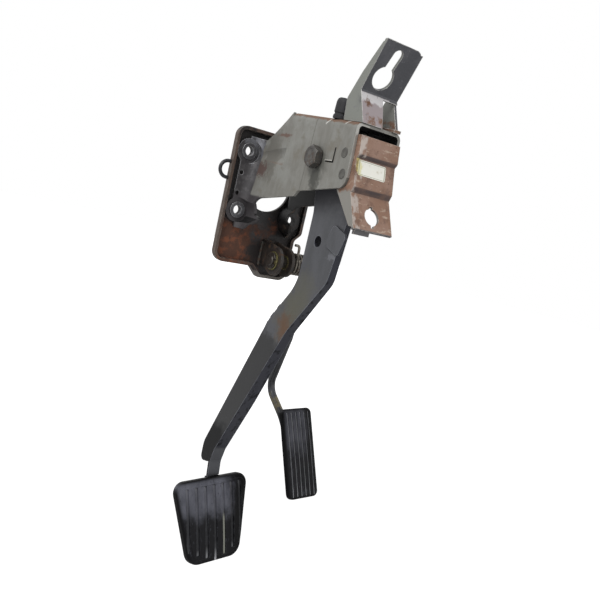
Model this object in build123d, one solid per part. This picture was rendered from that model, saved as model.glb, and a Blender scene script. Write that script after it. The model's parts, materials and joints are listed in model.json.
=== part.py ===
"""Car pedal assembly: a brake and an accelerator pedal hung from a folded steel pedal box.

Frame: X points back towards the driver, Y towards the accelerator side, Z up.
The origin lies on the front face of the firewall plate, at the centre of its bolt pattern.
Sizes are in millimetres and angles in degrees.
"""
import os
from math import atan2, cos, degrees, radians, sin, tan

from build123d import *

# Firewall plate: a dished stamping with a raised rim
BOLT_SPACING_Y = 61.0
BOLT_SPACING_Z = 55.0
BOLT_HOLE_RADIUS = 4.25
PLATE_SHEET = 3.0
PLATE_RIM_DEPTH = 8.0
PLATE_HALF_WIDTH = 46.0
PLATE_TOP = 49.0
PLATE_BOTTOM = 78.0
PLATE_CORNER = 10.0
RIM_ROUNDING = 0.9  # share of the sheet that the rim's front edge is rounded by
DOG_EAR_DROP = 10.0
DOG_EAR_INSET = 7.0
SERVO_HOLE_RADIUS = 24.0
LOOP_RADIUS = 7.5
LOOP_WIRE = 3.4
LOOP_Z = 7.0

# Pedal box: a folded channel, open below and behind
BOX_SHEET = 2.5
BOX_WIDTH = 44.0
BOX_FRONT_X = 57.0
BOX_REAR_X = 154.5
BOX_FRONT_Z = 66.0
BOX_REAR_Z = 60.0
BOX_REAR_HEIGHT = 49.5
BOX_FOLD_RADIUS = 3.0
BOX_REAR_LEAN = 2.5
BOX_REAR_CORNER = 9.0
BOX_STEP_X = 90.0
BOX_STEP_DROP = 9.2
BOX_STEP_NOTCH = 5.0
ARCH_X = 20.0
ARCH_Z = -13.5
ARCH_RADIUS = 13.0
TOE_Z = -28.5
TOE_REACH = 10.5
TOE_EDGE = 1.5
FLARE_RADIUS = 9.0
FLARE_TOP_INSET = 8.0
FLARE_FOOT_OUTSET = 6.0
BOSS_RADIUS = 11.5
STRAP_OUTSET = 6.5
STRAP_HOLE_RADIUS = 2.0
STRAP_HOLE_Y = 33.6
STRAP_HOLE_RISE = 7.0
STRAP_HOLE_DROP = 12.0
BOSS_WASHER_RADIUS = 7.5
BOSS_WASHER_SHEET = 1.6
LANCE_X = 131.0
LANCE_Z = 28.0
LANCE_HEIGHT = 11.0
LANCE_LENGTH = 11.0
LANCE_GAP = 1.2
FOOT_SLOPE = 1.0

# Rear bracket: a pressing with two shallow ledges, between the walls
REAR_SHEET = 2.2
REAR_FLANGE = 13.0
REAR_TOP_DROP = 9.0
REAR_UPPER_HEIGHT = 14.5
REAR_MIDDLE_HEIGHT = 23.5
REAR_LEDGE = 2.5
REAR_LEG_HEIGHT = 26.0
REAR_LEG_LEAN = 28.0
REAR_LEG_STEP = 0.8  # share of a ledge by which the leg sets back
REAR_LIP_HEIGHT = 4.0
REAR_LIP_WIDTH = 15.0
SWITCH_HOLE_RADIUS = 7.0
SWITCH_HOLE_PLACE = 0.57
SWITCH_NOTCH = 3.0
SWITCH_SLOT = 9.0

# Upper bracket: a leaning web with a keyhole, carried by two flanges and a tongue
UPPER_SHEET = 2.5
UPPER_WIDTH = 37.0
UPPER_SETBACK = 13.5
UPPER_BEND_RISE = 24.0
UPPER_WEB = 41.0
UPPER_LEAN = 27.0
UPPER_FOOT_DEPTH = 13.0
UPPER_CORNER = 7.0
UPPER_FOOT_SPREAD = 1.2  # widest place of the side flange, as a share of the foot's depth
TONGUE_WIDTH = 22.0
TONGUE_TAPER = 0.08  # share of the bracket width that the tongue loses at its foot
KEYHOLE_RADIUS = 9.0
KEYHOLE_SLOT = 8.4
KEYHOLE_REACH = 19.0
KEYHOLE_HEIGHT = 12.5
KEYHOLE_SIDE = -5.0
KEYHOLE_TILT = -7.0
BUFFER_RADIUS = 7.0
BUFFER_HEIGHT = 17.0
BUFFER_SETBACK = 37.0

# Brake pivot
PIVOT_X = 108.0
PIVOT_Z = 30.0
PIVOT_BOLT_RADIUS = 5.0
PIVOT_HEAD_FLATS = 16.0
PIVOT_HEAD_HEIGHT = 7.5
PIVOT_NUT_HEIGHT = 8.0
PIVOT_BOLT_STANDOUT = 2.0
WASHER_RADIUS = 11.0
WASHER_SHEET = 2.0
SLEEVE_RADIUS = 7.0
BUSH_WALL = 2.0
BUSH_FLANGE = 1.4
HUB_WALL = 3.5

# Brake arm: a stamped channel, its web on the near side
ARM_SHEET = 3.2
ARM_DEPTH = 13.0
ARM_TOP_DEPTH = 5.5
ARM_THROAT_DROP = 44.0
ARM_TOP_WIDTH = 48.0
ARM_TOP_LEAD = 10.0
ARM_NECK_WIDTH = 24.0
ARM_DROP = 310.0
ARM_SWEEP = 93.0
ARM_ELBOW_DROP = 106.0
ARM_KNEE_LEAD = 32.0
ARM_KNEE_DROP = 40.0
ARM_FOOT_HEIGHT = 21.0
ARM_BEND = 20.0
ARM_TAPER_END = 0.75  # share of the arm's drop where its flanges reach full depth
STRAP_BEND = 8.0
STRAP_WELD_Y = 5.0
ROD_PIN_RADIUS = 5.0
ROD_PIN_WALL = 2.5
ROD_PIN_DROP = 66.0
ROD_PIN_LEAD = 6.0
STRIKER_SHEET = 2.0
STRIKER_WIDTH = 21.0
STRIKER_HEIGHT = 19.0
STRIKER_DROP = 61.0
STRIKER_OVERHANG = 5.0
STRIKER_TILT = 18.0

# Brake pad
BRAKE_PAD_X = 38.0
BRAKE_PAD_Z = -337.0
BRAKE_PAD_WIDTH = 90.0
BRAKE_PAD_FOOT_WIDTH = 61.0
BRAKE_PAD_HEIGHT = 85.0
BRAKE_PAD_RUBBER = 8.0
BRAKE_PAD_PLATE = 2.5
BRAKE_PAD_TILT = 18.6
BRAKE_PAD_YAW = 7.0
BRAKE_PAD_ROLL = 3.4
BRAKE_PAD_LIP = 3.0
BRAKE_PAD_TOP_CORNER = 9.0
BRAKE_PAD_LOW_CORNER = 14.0
BRAKE_RIB_COUNT = 8
BRAKE_GROOVE_LENGTH = 67.0
BRAKE_FIELD_WIDTH = 70.0
GROOVE_SHORTENING = 0.62
RIB_GROOVE_WIDTH = 2.4
RIB_GROOVE_DEPTH = 1.6
PAD_EDGE = 1.6

# Brake return spring
RETURN_WIRE = 2.6
RETURN_TURNS = 4
RETURN_PITCH = 3.0
RETURN_LEG_SLOPE = 1.5  # drop of the moving leg for each step back

# Accelerator pivot
ACCEL_X = 30.0
ACCEL_Z = -67.0
ACCEL_SHAFT_RADIUS = 5.0
ACCEL_EAR_RADIUS = 14.0
ACCEL_EAR_SHEET = 3.0
ACCEL_WEB_RISE = 3.0
ACCEL_EAR_Y = 6.5
ACCEL_EAR_SPAN = 16.0
ACCEL_BUSH_WALL = 1.8
ACCEL_BUSH_FLANGE_RADIUS = 9.0
ACCEL_BUSH_FLANGE = 1.5
ACCEL_EYE_WALL = 3.5
ACCEL_EYE_WIDTH = 9.0
ACCEL_SPRING_WIRE = 2.6
ACCEL_SPRING_RADIUS = 9.6
ACCEL_SPRING_TURNS = 4
ACCEL_HOOK_DROP = 42.0
ACCEL_LEVER_LENGTH = 42.0
ACCEL_LEVER_ANGLE = 68.0
ACCEL_LEVER_SHEET = 3.0
CABLE_HOLE_RADIUS = 3.0
CLIP_SHEET = 1.2
CLIP_RADIUS = 8.0
CLIP_GAP = 5.0
LEVER_TIP_WALL = 3.0

# Accelerator rod and pad
ROD_RADIUS = 4.0
ROD_BEND_RADIUS = 16.0
ROD_KNEE_LEAD = 4.0
ROD_KNEE_DROP = 75.0
ROD_TOE_LEAD = 29.0
ROD_TOE_DROP = 137.0
ROD_TOE_SIDE = 6.0
ROD_ENTRY = 0.42  # where the rod meets the pad's back, as a share of the pad's height
ACCEL_PAD_X = 59.0
ACCEL_PAD_Y = 72.0
ACCEL_PAD_Z = -255.0
ACCEL_PAD_WIDTH = 38.0
ACCEL_PAD_HEIGHT = 92.0
ACCEL_PAD_RUBBER = 6.5
ACCEL_PAD_PLATE = 2.0
ACCEL_PAD_TILT = 24.8
ACCEL_PAD_YAW = 4.4
ACCEL_PAD_ROLL = 3.0
ACCEL_PAD_LIP = 3.0
ACCEL_PAD_CORNER = 6.0
ACCEL_RIB_COUNT = 6
ACCEL_GROOVE_LENGTH = 78.0
ACCEL_FIELD_WIDTH = 32.0

# Clearances
RUNNING_CLEARANCE = 0.05
END_CLEARANCE = 0.4
FREE_CLEARANCE = 0.6

# Sizes that follow from the ones above
WALL_OUTER = BOX_WIDTH / 2
WALL_INNER = WALL_OUTER - BOX_SHEET
FOOT_X = PLATE_SHEET + BOX_SHEET
BUSH_RADIUS = SLEEVE_RADIUS + RUNNING_CLEARANCE + BUSH_WALL
HUB_RADIUS = BUSH_RADIUS + HUB_WALL
HUB_END = WALL_INNER - END_CLEARANCE - BUSH_FLANGE
CROWN_RADIUS = HUB_RADIUS + RETURN_WIRE + 2 * FREE_CLEARANCE + ARM_SHEET
ARM_NEAR_Y = -ARM_DEPTH / 2
TOP_SLOPE = degrees(atan2(BOX_FRONT_Z - BOX_REAR_Z, BOX_REAR_X - BOX_FRONT_X))
EAR_FAR_Y = ACCEL_EAR_Y + ACCEL_EAR_SPAN
ACCEL_SPRING_START = EAR_FAR_Y + ACCEL_BUSH_FLANGE + END_CLEARANCE + ACCEL_SPRING_WIRE
ACCEL_SPRING_PITCH = ACCEL_SPRING_WIRE * 1.3
ACCEL_SPRING_END = ACCEL_SPRING_START + ACCEL_SPRING_TURNS * ACCEL_SPRING_PITCH
EYE_NEAR_Y = ACCEL_SPRING_END + ACCEL_SPRING_WIRE
EYE_FAR_Y = EYE_NEAR_Y + ACCEL_EYE_WIDTH
LEVER_FAR_Y = EYE_FAR_Y + ACCEL_LEVER_SHEET


def top_z(x):
    """Height of the box's top face at a distance x behind the firewall."""
    return BOX_FRONT_Z - (x - BOX_FRONT_X) * tan(radians(TOP_SLOPE))


def top_plane(x, y=0.0):
    """Plane on the box's top face, its own X pointing back along the slope."""
    slope = radians(TOP_SLOPE)
    along, out = (cos(slope), 0, -sin(slope)), (sin(slope), 0, cos(slope))
    return Plane(origin=(x, y, top_z(x)), x_dir=along, z_dir=out)


def outline(points, radii=0.0):
    """A flat face with straight sides and rounded corners."""
    return make_face(FilletPolyline(*points, radius=radii, close=True))


def slab_y(face, near, far):
    """Thicken a side-view face between two places along Y."""
    return extrude(Pos(0, far, 0) * (Plane.XZ * face), amount=far - near)


def slab_x(face, front, rear):
    """Thicken a rear-view face between two places along X."""
    return extrude(Pos(front, 0, 0) * (Plane.YZ * face), amount=rear - front)


def rod_y(radius, x, z, near, far):
    """A round bar along Y."""
    return slab_y(Pos(x, z) * Circle(radius), near, far)


def rod_x(radius, y, z, front, rear):
    """A round bar along X."""
    return slab_x(Pos(y, z) * Circle(radius), front, rear)


def mirrored_y(shape):
    """The same piece on the other side of the middle plane."""
    return mirror(shape, about=Plane.XZ)


def offset_points(points, distance):
    """Points moved to the left of a run of straight legs, mitred at its corners."""
    legs = [(Vector(*b) - Vector(*a)).normalized() for a, b in zip(points, points[1:])]
    moved = []
    for index, point in enumerate(points):
        before = legs[max(index - 1, 0)]
        after = legs[min(index, len(legs) - 1)]
        middle = (before + after).normalized()
        reach = distance / middle.dot(after)
        moved.append((point[0] - middle.Y * reach, point[1] + middle.X * reach))
    return moved


def bent_sheet(points, thickness, radius):
    """Section of a sheet whose right-hand face follows the points, with rounded bends."""
    near_radii, far_radii = [], []
    for a, b, c in zip(points, points[1:], points[2:]):
        left_turn = (b[0] - a[0]) * (c[1] - b[1]) > (b[1] - a[1]) * (c[0] - b[0])
        near_radii.append(radius + thickness if left_turn else radius)
        far_radii.append(radius if left_turn else radius + thickness)
    far = offset_points(points, thickness)
    corners = list(points) + far[::-1]
    return outline(corners, [0, *near_radii, 0, 0, *far_radii[::-1], 0])


# Firewall plate

def plate_outline(inset=0.0):
    """Rear view of the plate, or of its floor where it is inset by the rim."""
    side = PLATE_HALF_WIDTH - inset
    low = -PLATE_BOTTOM + inset
    ear_low = low - DOG_EAR_DROP
    ear_side = side - DOG_EAR_INSET
    step = inset
    neck_z = -BOLT_SPACING_Z / 2 - BOSS_RADIUS
    corners = [
        (-side, low), (-PLATE_CORNER / 2 + step, low), (PLATE_CORNER / 2 + step, ear_low),
        (ear_side, ear_low), (ear_side, neck_z - DOG_EAR_INSET), (side, neck_z),
        (side, PLATE_TOP - inset), (-side, PLATE_TOP - inset),
    ]
    corner = PLATE_CORNER - inset
    soft = PLATE_CORNER / 2
    return outline(corners, [corner, soft, soft, corner, soft, soft, corner, corner])


def bolt_places():
    """Centres of the four firewall bolts, in rear view."""
    return [
        (side * BOLT_SPACING_Y / 2, rise * BOLT_SPACING_Z / 2)
        for side in (-1, 1)
        for rise in (-1, 1)
    ]


def firewall_plate():
    """A dished plate: floor, raised rim, servo opening and four bolt holes."""
    blank = slab_x(plate_outline(), 0, PLATE_RIM_DEPTH)
    front_edges = blank.edges().group_by(Axis.X)[0]
    blank = fillet(front_edges, PLATE_SHEET * RIM_ROUNDING)
    tray = blank - slab_x(plate_outline(PLATE_SHEET), PLATE_SHEET, PLATE_RIM_DEPTH)
    tray -= rod_x(SERVO_HOLE_RADIUS, 0, 0, 0, PLATE_SHEET)
    for y, z in bolt_places():
        tray -= rod_x(BOLT_HOLE_RADIUS, y, z, 0, PLATE_SHEET)
    return tray


def harness_loop():
    """A bent wire loop on the near edge of the plate."""
    root_y = -PLATE_HALF_WIDTH
    turn_y = root_y - LOOP_WIRE / 2
    middle_x = PLATE_RIM_DEPTH / 2
    low, high = LOOP_Z - LOOP_RADIUS, LOOP_Z + LOOP_RADIUS
    path = Wire([
        Edge.make_line((middle_x, root_y, low), (middle_x, turn_y, low)),
        Edge.make_three_point_arc(
            (middle_x, turn_y, low), (middle_x, turn_y - LOOP_RADIUS, LOOP_Z), (middle_x, turn_y, high)
        ),
        Edge.make_line((middle_x, turn_y, high), (middle_x, root_y, high)),
    ])
    section = Plane(origin=(middle_x, root_y, low), z_dir=(0, -1, 0)) * Circle(LOOP_WIRE / 2)
    return sweep(section, path=path)


# Pedal box

def box_side():
    """Side view of a box wall, with the arched cut-out towards the firewall."""
    low_rear = top_z(BOX_REAR_X) - BOX_REAR_HEIGHT
    step_z = low_rear - BOX_STEP_DROP
    hook_x = FOOT_X + FLARE_RADIUS
    hook_z = -BOLT_SPACING_Z / 2 - BOSS_RADIUS - BOX_STEP_NOTCH
    foot_z = BOLT_SPACING_Z / 2 + BOSS_RADIUS + BOX_SHEET
    corners = [
        (BOX_REAR_X - BOX_REAR_LEAN, top_z(BOX_REAR_X)), (BOX_REAR_X, low_rear), (BOX_STEP_X, step_z),
        (BOX_STEP_X - BOX_STEP_NOTCH, step_z - BOX_STEP_NOTCH), (ARCH_X, ARCH_Z),
        (ARCH_X, TOE_Z), (ARCH_X + TOE_REACH, TOE_Z - TOE_EDGE), (hook_x, hook_z), (PLATE_SHEET, hook_z),
        (PLATE_SHEET, foot_z), (FOOT_X + FLARE_RADIUS, foot_z - FOOT_SLOPE), (BOX_FRONT_X, BOX_FRONT_Z),
    ]
    soft = BOX_STEP_NOTCH / 2
    radii = [0, BOX_REAR_CORNER, soft, soft, ARCH_RADIUS, TOE_EDGE, TOE_EDGE, soft, 0, 0, soft, soft]
    return outline(corners, radii)


def wall_path(shift):
    """Plan view of the near wall's outer face, its foot moved out by shift."""
    return [
        (FOOT_X, -PLATE_HALF_WIDTH), (FOOT_X, -WALL_OUTER - shift),
        (BOX_FRONT_X, -WALL_OUTER), (BOX_REAR_X, -WALL_OUTER),
    ]


def wall_loft(section):
    """Join a plan section at the foot of the wall to the one at its top."""
    low, high = -BOLT_SPACING_Z, BOX_FRONT_Z + BOX_SHEET
    foot = Pos(0, 0, low) * section(wall_path(FLARE_FOOT_OUTSET))
    top = Pos(0, 0, high) * section(wall_path(-FLARE_TOP_INSET))
    return loft([foot, top], ruled=True)


def wall_sheet(path):
    return bent_sheet(path, BOX_SHEET, FLARE_RADIUS)


def wall_inside(path):
    """Everything on the inner side of the wall's outer face."""
    corners = [*path, (BOX_REAR_X, 0), (PLATE_SHEET, 0), (PLATE_SHEET, -PLATE_HALF_WIDTH)]
    return outline(corners, [0, FLARE_RADIUS, FLARE_RADIUS + BOX_SHEET, 0, 0, 0, 0])


def foot_outline():
    """Rear view of the near foot flange: two round bosses joined by a strap, open inwards."""
    y, z = -BOLT_SPACING_Y / 2, BOLT_SPACING_Z / 2
    strap = Pos(y - STRAP_OUTSET + BOX_WIDTH / 2, 0) * Rectangle(BOX_WIDTH, 2 * z)
    inward = Pos(y + BOX_WIDTH, 0) * Rectangle(2 * BOX_WIDTH, 5 * z)
    bosses = [Pos(y, rise * z) * Circle(BOSS_RADIUS) for rise in (-1, 1)]
    return strap + inward + bosses


def near_wing():
    """The front of the near wall: it twists, flares into the foot and holds two boss pockets."""
    wing = wall_loft(wall_sheet)
    inside = wall_loft(wall_inside)
    for rise in (-1, 1):
        y, z = -BOLT_SPACING_Y / 2, rise * BOLT_SPACING_Z / 2
        wing -= rod_x(BOSS_RADIUS, y, z, FOOT_X, BOX_FRONT_X)
        cup = rod_x(BOSS_RADIUS + BOX_SHEET, y, z, PLATE_SHEET, BOX_FRONT_X)
        cup -= rod_x(BOSS_RADIUS, y, z, FOOT_X, BOX_FRONT_X)
        wing += cup & inside
    return wing & slab_x(foot_outline(), PLATE_SHEET, BOX_FRONT_X)


def box_prism(drop, half, radius):
    """The space under the sloping top, with its long upper edges rounded."""
    face = outline([
        (BOX_FRONT_X, top_z(BOX_FRONT_X) - drop), (BOX_REAR_X, top_z(BOX_REAR_X) - drop),
        (BOX_REAR_X, -BOLT_SPACING_Z), (BOX_FRONT_X, -BOLT_SPACING_Z),
    ])
    prism = slab_y(face, -half, half)
    long_edges = prism.faces().sort_by(Axis.Z)[-1].edges().sort_by(Axis.Y)
    return fillet([long_edges[0], long_edges[-1]], radius)


def lance():
    """The L-shaped cut round a small tab in the near wall, in side view."""
    upright = Pos(LANCE_X, LANCE_Z + (LANCE_HEIGHT - LANCE_GAP) / 2) * Rectangle(LANCE_GAP, LANCE_HEIGHT)
    level = Pos(LANCE_X - LANCE_LENGTH / 2, LANCE_Z) * Rectangle(LANCE_LENGTH, LANCE_GAP)
    return upright + level


def box_channel():
    """Top and two walls folded from one sheet, with a flared foot on each wall."""
    channel = box_prism(0, WALL_OUTER, BOX_FOLD_RADIUS + BOX_SHEET)
    channel -= box_prism(BOX_SHEET, WALL_INNER, BOX_FOLD_RADIUS)
    wing = near_wing()
    box = channel + wing + mirrored_y(wing)
    box = box & slab_y(box_side(), -PLATE_HALF_WIDTH, PLATE_HALF_WIDTH)
    box -= rod_y(PIVOT_BOLT_RADIUS + RUNNING_CLEARANCE, PIVOT_X, PIVOT_Z, -WALL_OUTER, WALL_OUTER)
    for y, z in bolt_places():
        box -= rod_x(BOLT_HOLE_RADIUS, y, z, PLATE_SHEET, FOOT_X)
    for z in (STRAP_HOLE_RISE, -STRAP_HOLE_DROP):
        hole = rod_x(STRAP_HOLE_RADIUS, -STRAP_HOLE_Y, z, PLATE_SHEET, FOOT_X)
        box = box - hole - mirrored_y(hole)
    return box - slab_y(lance(), -WALL_OUTER, -WALL_INNER)


def boss_washers():
    """Round seats for the firewall nuts, one on each boss."""
    return [
        rod_x(BOSS_WASHER_RADIUS, y, z, FOOT_X, FOOT_X + BOSS_WASHER_SHEET)
        - rod_x(BOLT_HOLE_RADIUS, y, z, FOOT_X, FOOT_X + BOSS_WASHER_SHEET)
        for y, z in bolt_places()
    ]


# Rear bracket

def rear_path():
    """Side view of the rear face of the rear bracket, from its top edge down."""
    x, z = BOX_REAR_X + REAR_LEDGE, top_z(BOX_REAR_X) - REAR_TOP_DROP
    upper = (x + REAR_LEDGE, z - REAR_UPPER_HEIGHT)
    middle = (upper[0] - REAR_LEDGE, upper[1] - REAR_LEDGE)
    lower = (middle[0] + 2 * REAR_LEDGE, middle[1] - REAR_MIDDLE_HEIGHT + REAR_LEDGE)
    leg = (lower[0] - REAR_LEDGE * REAR_LEG_STEP, lower[1] - 2 * REAR_LEDGE)
    end = (leg[0] + REAR_LEG_HEIGHT * tan(radians(REAR_LEG_LEAN)), leg[1] - REAR_LEG_HEIGHT)
    return [(x, z), upper, middle, lower, leg, end]


def lower_leg():
    """Plane of the lower leg of the rear bracket, centred on the switch hole."""
    start, end = rear_path()[-2:]
    x = start[0] + (end[0] - start[0]) * SWITCH_HOLE_PLACE
    z = start[1] + (end[1] - start[1]) * SWITCH_HOLE_PLACE
    normal = Vector(start[1] - end[1], 0, end[0] - start[0]).normalized()
    return Plane(origin=(x, 0, z), x_dir=(0, 1, 0), z_dir=normal)


def rear_flange():
    """Side flange of the rear bracket: full between the walls, tapering down along the leg."""
    (_, top), upper, middle, lower, leg, end = rear_path()
    inset = REAR_SHEET / 2
    front_x = BOX_REAR_X - REAR_FLANGE
    side = outline([
        (BOX_REAR_X, top), (upper[0] - inset, upper[1]), (middle[0] - inset, middle[1]),
        (lower[0] - inset, lower[1]), (leg[0] - inset, leg[1]), (end[0] - inset, end[1] + inset),
        (end[0] - 3 * REAR_SHEET, end[1] + inset), (front_x, leg[1]), (front_x, top),
    ])
    return slab_y(side, -WALL_INNER, REAR_SHEET - WALL_INNER)


def rear_bracket():
    """A web with two ledges, side flanges, a short lip below and the notched switch hole."""
    path = rear_path()
    web = slab_y(bent_sheet(path[::-1], REAR_SHEET, 1.0), -WALL_INNER, WALL_INNER)
    flange = rear_flange()
    body = web + flange + mirrored_y(flange)
    end_x, end_z = path[-1]
    lip = Pos(end_x - REAR_SHEET, end_z + (REAR_SHEET - REAR_LIP_HEIGHT) / 2)
    lip *= Rectangle(REAR_SHEET, REAR_LIP_HEIGHT + REAR_SHEET)
    body += slab_y(lip, REAR_SHEET - WALL_INNER, REAR_SHEET - WALL_INNER + REAR_LIP_WIDTH)
    hole = Circle(SWITCH_HOLE_RADIUS)
    hole += Pos(0, SWITCH_HOLE_RADIUS) * Rectangle(SWITCH_NOTCH, SWITCH_NOTCH)
    hole += Pos(0, -SWITCH_SLOT / 2) * Rectangle(SWITCH_NOTCH, SWITCH_SLOT)
    return body - extrude(lower_leg() * hole, amount=2 * REAR_SHEET, both=True)


# Upper bracket

def upper_bend():
    """Where the leaning web bends towards the box, in side view."""
    x = BOX_REAR_X - UPPER_SETBACK
    return x, top_z(x) + UPPER_BEND_RISE


def upper_head():
    """Top of the rear face of the leaning web, in side view."""
    x, z = upper_bend()
    lean = radians(UPPER_LEAN)
    return x + UPPER_WEB * sin(lean), z + UPPER_WEB * cos(lean)


def upper_plane():
    """Plane of the rear face of the leaning web, its origin at the bend."""
    x, z = upper_bend()
    lean = radians(UPPER_LEAN)
    return Plane(origin=(x, 0, z), x_dir=(0, 1, 0), z_dir=(cos(lean), 0, -sin(lean)))


def upper_web():
    """The leaning web with its keyhole, and the tongue that slopes back to the rear edge of the box."""
    half = UPPER_WIDTH / 2
    foot = (BOX_REAR_X, top_z(BOX_REAR_X) - UPPER_SHEET)
    bend, head = upper_bend(), upper_head()
    sheet = slab_y(bent_sheet([foot, bend, head], UPPER_SHEET, UPPER_SHEET / 2), -half, half)
    edge, taper = TONGUE_WIDTH - half, UPPER_WIDTH * TONGUE_TAPER
    low, top, shoulder = foot[1] - UPPER_SHEET, head[1] - UPPER_SHEET / 4, bend[1] - UPPER_SHEET
    shape = outline([
        (-half, low), (edge - taper, low), (edge, shoulder),
        (half, shoulder), (half, top), (-half, top), (-half, shoulder),
    ], [0, 0, 0, 0, UPPER_CORNER, 0, 0])
    slot = Pos(0, KEYHOLE_REACH / 2) * SlotCenterToCenter(KEYHOLE_REACH, KEYHOLE_SLOT, rotation=90)
    keyhole = Pos(KEYHOLE_SIDE, KEYHOLE_HEIGHT) * (Rot(0, 0, KEYHOLE_TILT) * (Circle(KEYHOLE_RADIUS) + slot))
    web = sheet & slab_x(shape, 0, 2 * BOX_REAR_X)
    return web - extrude(upper_plane() * keyhole, amount=2 * UPPER_SHEET, both=True)


def upper_flange():
    """Side flange of the upper bracket, wide where it stands on the box and narrow at the top."""
    (bend_x, bend_z), (head_x, head_z) = upper_bend(), upper_head()
    inset = UPPER_SHEET / 2
    foot_x, base_z = BOX_REAR_X - inset, top_z(BOX_REAR_X) - UPPER_SHEET
    depth = UPPER_FOOT_DEPTH
    side = outline([
        (foot_x, base_z), (bend_x - inset, bend_z), (head_x - inset, head_z - UPPER_SHEET),
        (head_x - 2 * UPPER_SHEET, head_z - UPPER_SHEET), (bend_x - depth / 4, bend_z + depth),
        (bend_x - UPPER_FOOT_SPREAD * depth, bend_z - depth / 2), (bend_x - depth, base_z),
    ], [0, 0, 0, 0, 2 * depth, depth / 2, 0])
    return slab_y(side, -UPPER_WIDTH / 2, UPPER_SHEET - UPPER_WIDTH / 2)


def upper_bracket():
    """Web, tongue and two flanges that stand on the box, the far one with a foot turned back."""
    flange = upper_flange()
    body = upper_web() + flange + mirrored_y(flange)
    length = UPPER_SETBACK + UPPER_SHEET
    foot = Pos(-length / 2, (UPPER_WIDTH - UPPER_CORNER) / 2) * Rectangle(length, UPPER_CORNER)
    body += extrude(top_plane(BOX_REAR_X) * foot, amount=UPPER_SHEET)
    above = extrude(top_plane(BOX_REAR_X) * Rectangle(4 * UPPER_WEB, 2 * UPPER_WIDTH), amount=4 * UPPER_WEB)
    return body & above


def bump_stop():
    """A rubber buffer plugged into the top of the box."""
    base = top_plane(BOX_REAR_X - BUFFER_SETBACK, BUFFER_RADIUS - WALL_OUTER + 1.0)
    body = extrude(base * Circle(BUFFER_RADIUS), amount=BUFFER_HEIGHT)
    return fillet(body.edges().group_by(Axis.Z)[-1], BUFFER_RADIUS / 2)


# Brake pivot

def pivot_bolt():
    """Hex head on the near wall, plain shank through both walls."""
    head = slab_y(Pos(PIVOT_X, PIVOT_Z) * RegularPolygon(PIVOT_HEAD_FLATS / 2, 6, major_radius=False),
                  -WALL_OUTER - PIVOT_HEAD_HEIGHT, -WALL_OUTER)
    end = WALL_OUTER + WASHER_SHEET + PIVOT_NUT_HEIGHT + PIVOT_BOLT_STANDOUT
    shank = rod_y(PIVOT_BOLT_RADIUS, PIVOT_X, PIVOT_Z, -WALL_OUTER, end)
    shank = chamfer(shank.edges().group_by(Axis.Y)[-1], PIVOT_BOLT_STANDOUT / 2)
    return head + shank


def pivot_ring(outer, inner, near, far):
    """A ring or tube on the pivot axis."""
    return rod_y(outer, PIVOT_X, PIVOT_Z, near, far) - rod_y(inner, PIVOT_X, PIVOT_Z, near, far)


def pivot_washer():
    bore = PIVOT_BOLT_RADIUS + RUNNING_CLEARANCE
    return pivot_ring(WASHER_RADIUS, bore, WALL_OUTER, WALL_OUTER + WASHER_SHEET)


def pivot_nut():
    near = WALL_OUTER + WASHER_SHEET
    flats = Pos(PIVOT_X, PIVOT_Z) * RegularPolygon(PIVOT_HEAD_FLATS / 2, 6, major_radius=False)
    bore = PIVOT_BOLT_RADIUS + RUNNING_CLEARANCE
    far = near + PIVOT_NUT_HEIGHT
    return slab_y(flats, near, far) - rod_y(bore, PIVOT_X, PIVOT_Z, near, far)


def pivot_sleeve():
    """Steel tube clamped between the walls, on which the brake arm turns."""
    return pivot_ring(SLEEVE_RADIUS, PIVOT_BOLT_RADIUS + RUNNING_CLEARANCE, -WALL_INNER, WALL_INNER)


def brake_hub():
    return pivot_ring(HUB_RADIUS, BUSH_RADIUS, -HUB_END, HUB_END)


def brake_bushes():
    """Two flanged bushes pressed into the ends of the hub."""
    bore = SLEEVE_RADIUS + RUNNING_CLEARANCE
    barrel = pivot_ring(BUSH_RADIUS, bore, -HUB_END, -HUB_END / 3)
    flange = pivot_ring(HUB_RADIUS - 1.0, bore, -HUB_END - BUSH_FLANGE, -HUB_END)
    bush = barrel + flange
    return [bush, mirrored_y(bush)]


# Brake arm

def arm_outline():
    """Side view of the arm, from the hub down to the neck."""
    front_x = PIVOT_X - ARM_TOP_LEAD
    rear_x = arm_rear_x()
    foot_x = PIVOT_X - ARM_SWEEP
    foot_z = PIVOT_Z - ARM_DROP
    neck_x = foot_x - ARM_NECK_WIDTH + ARM_SHEET
    throat_z = PIVOT_Z - ARM_THROAT_DROP
    elbow_z = PIVOT_Z - ARM_ELBOW_DROP
    corners = [
        (PIVOT_X - CROWN_RADIUS, PIVOT_Z), (front_x, throat_z), (front_x, elbow_z),
        (front_x - ARM_KNEE_LEAD, elbow_z - ARM_KNEE_DROP), (neck_x, foot_z + ARM_FOOT_HEIGHT / 2),
        (neck_x, foot_z - ARM_FOOT_HEIGHT / 2), (foot_x - ARM_SHEET, foot_z - ARM_FOOT_HEIGHT / 4),
        (foot_x + ARM_SHEET, foot_z + ARM_FOOT_HEIGHT / 2), (front_x, elbow_z - ARM_KNEE_DROP - ARM_SHEET),
        (rear_x - 2 * ARM_SHEET, elbow_z + ARM_TOP_LEAD), (rear_x + ARM_SHEET / 2, throat_z),
        (PIVOT_X + CROWN_RADIUS, PIVOT_Z),
    ]
    tight = ARM_FOOT_HEIGHT / 4
    radii = [0, ARM_BEND, 2 * ARM_BEND, 3 * ARM_BEND, ARM_BEND, tight, tight, ARM_BEND,
             3 * ARM_BEND, ARM_BEND, ARM_BEND / 2, 0]
    crown = Pos(PIVOT_X, PIVOT_Z) * Circle(CROWN_RADIUS)
    return outline(corners, radii) + crown


def arm_rear_x():
    """Rear edge of the arm at its widest."""
    return PIVOT_X - ARM_TOP_LEAD + ARM_TOP_WIDTH


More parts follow.
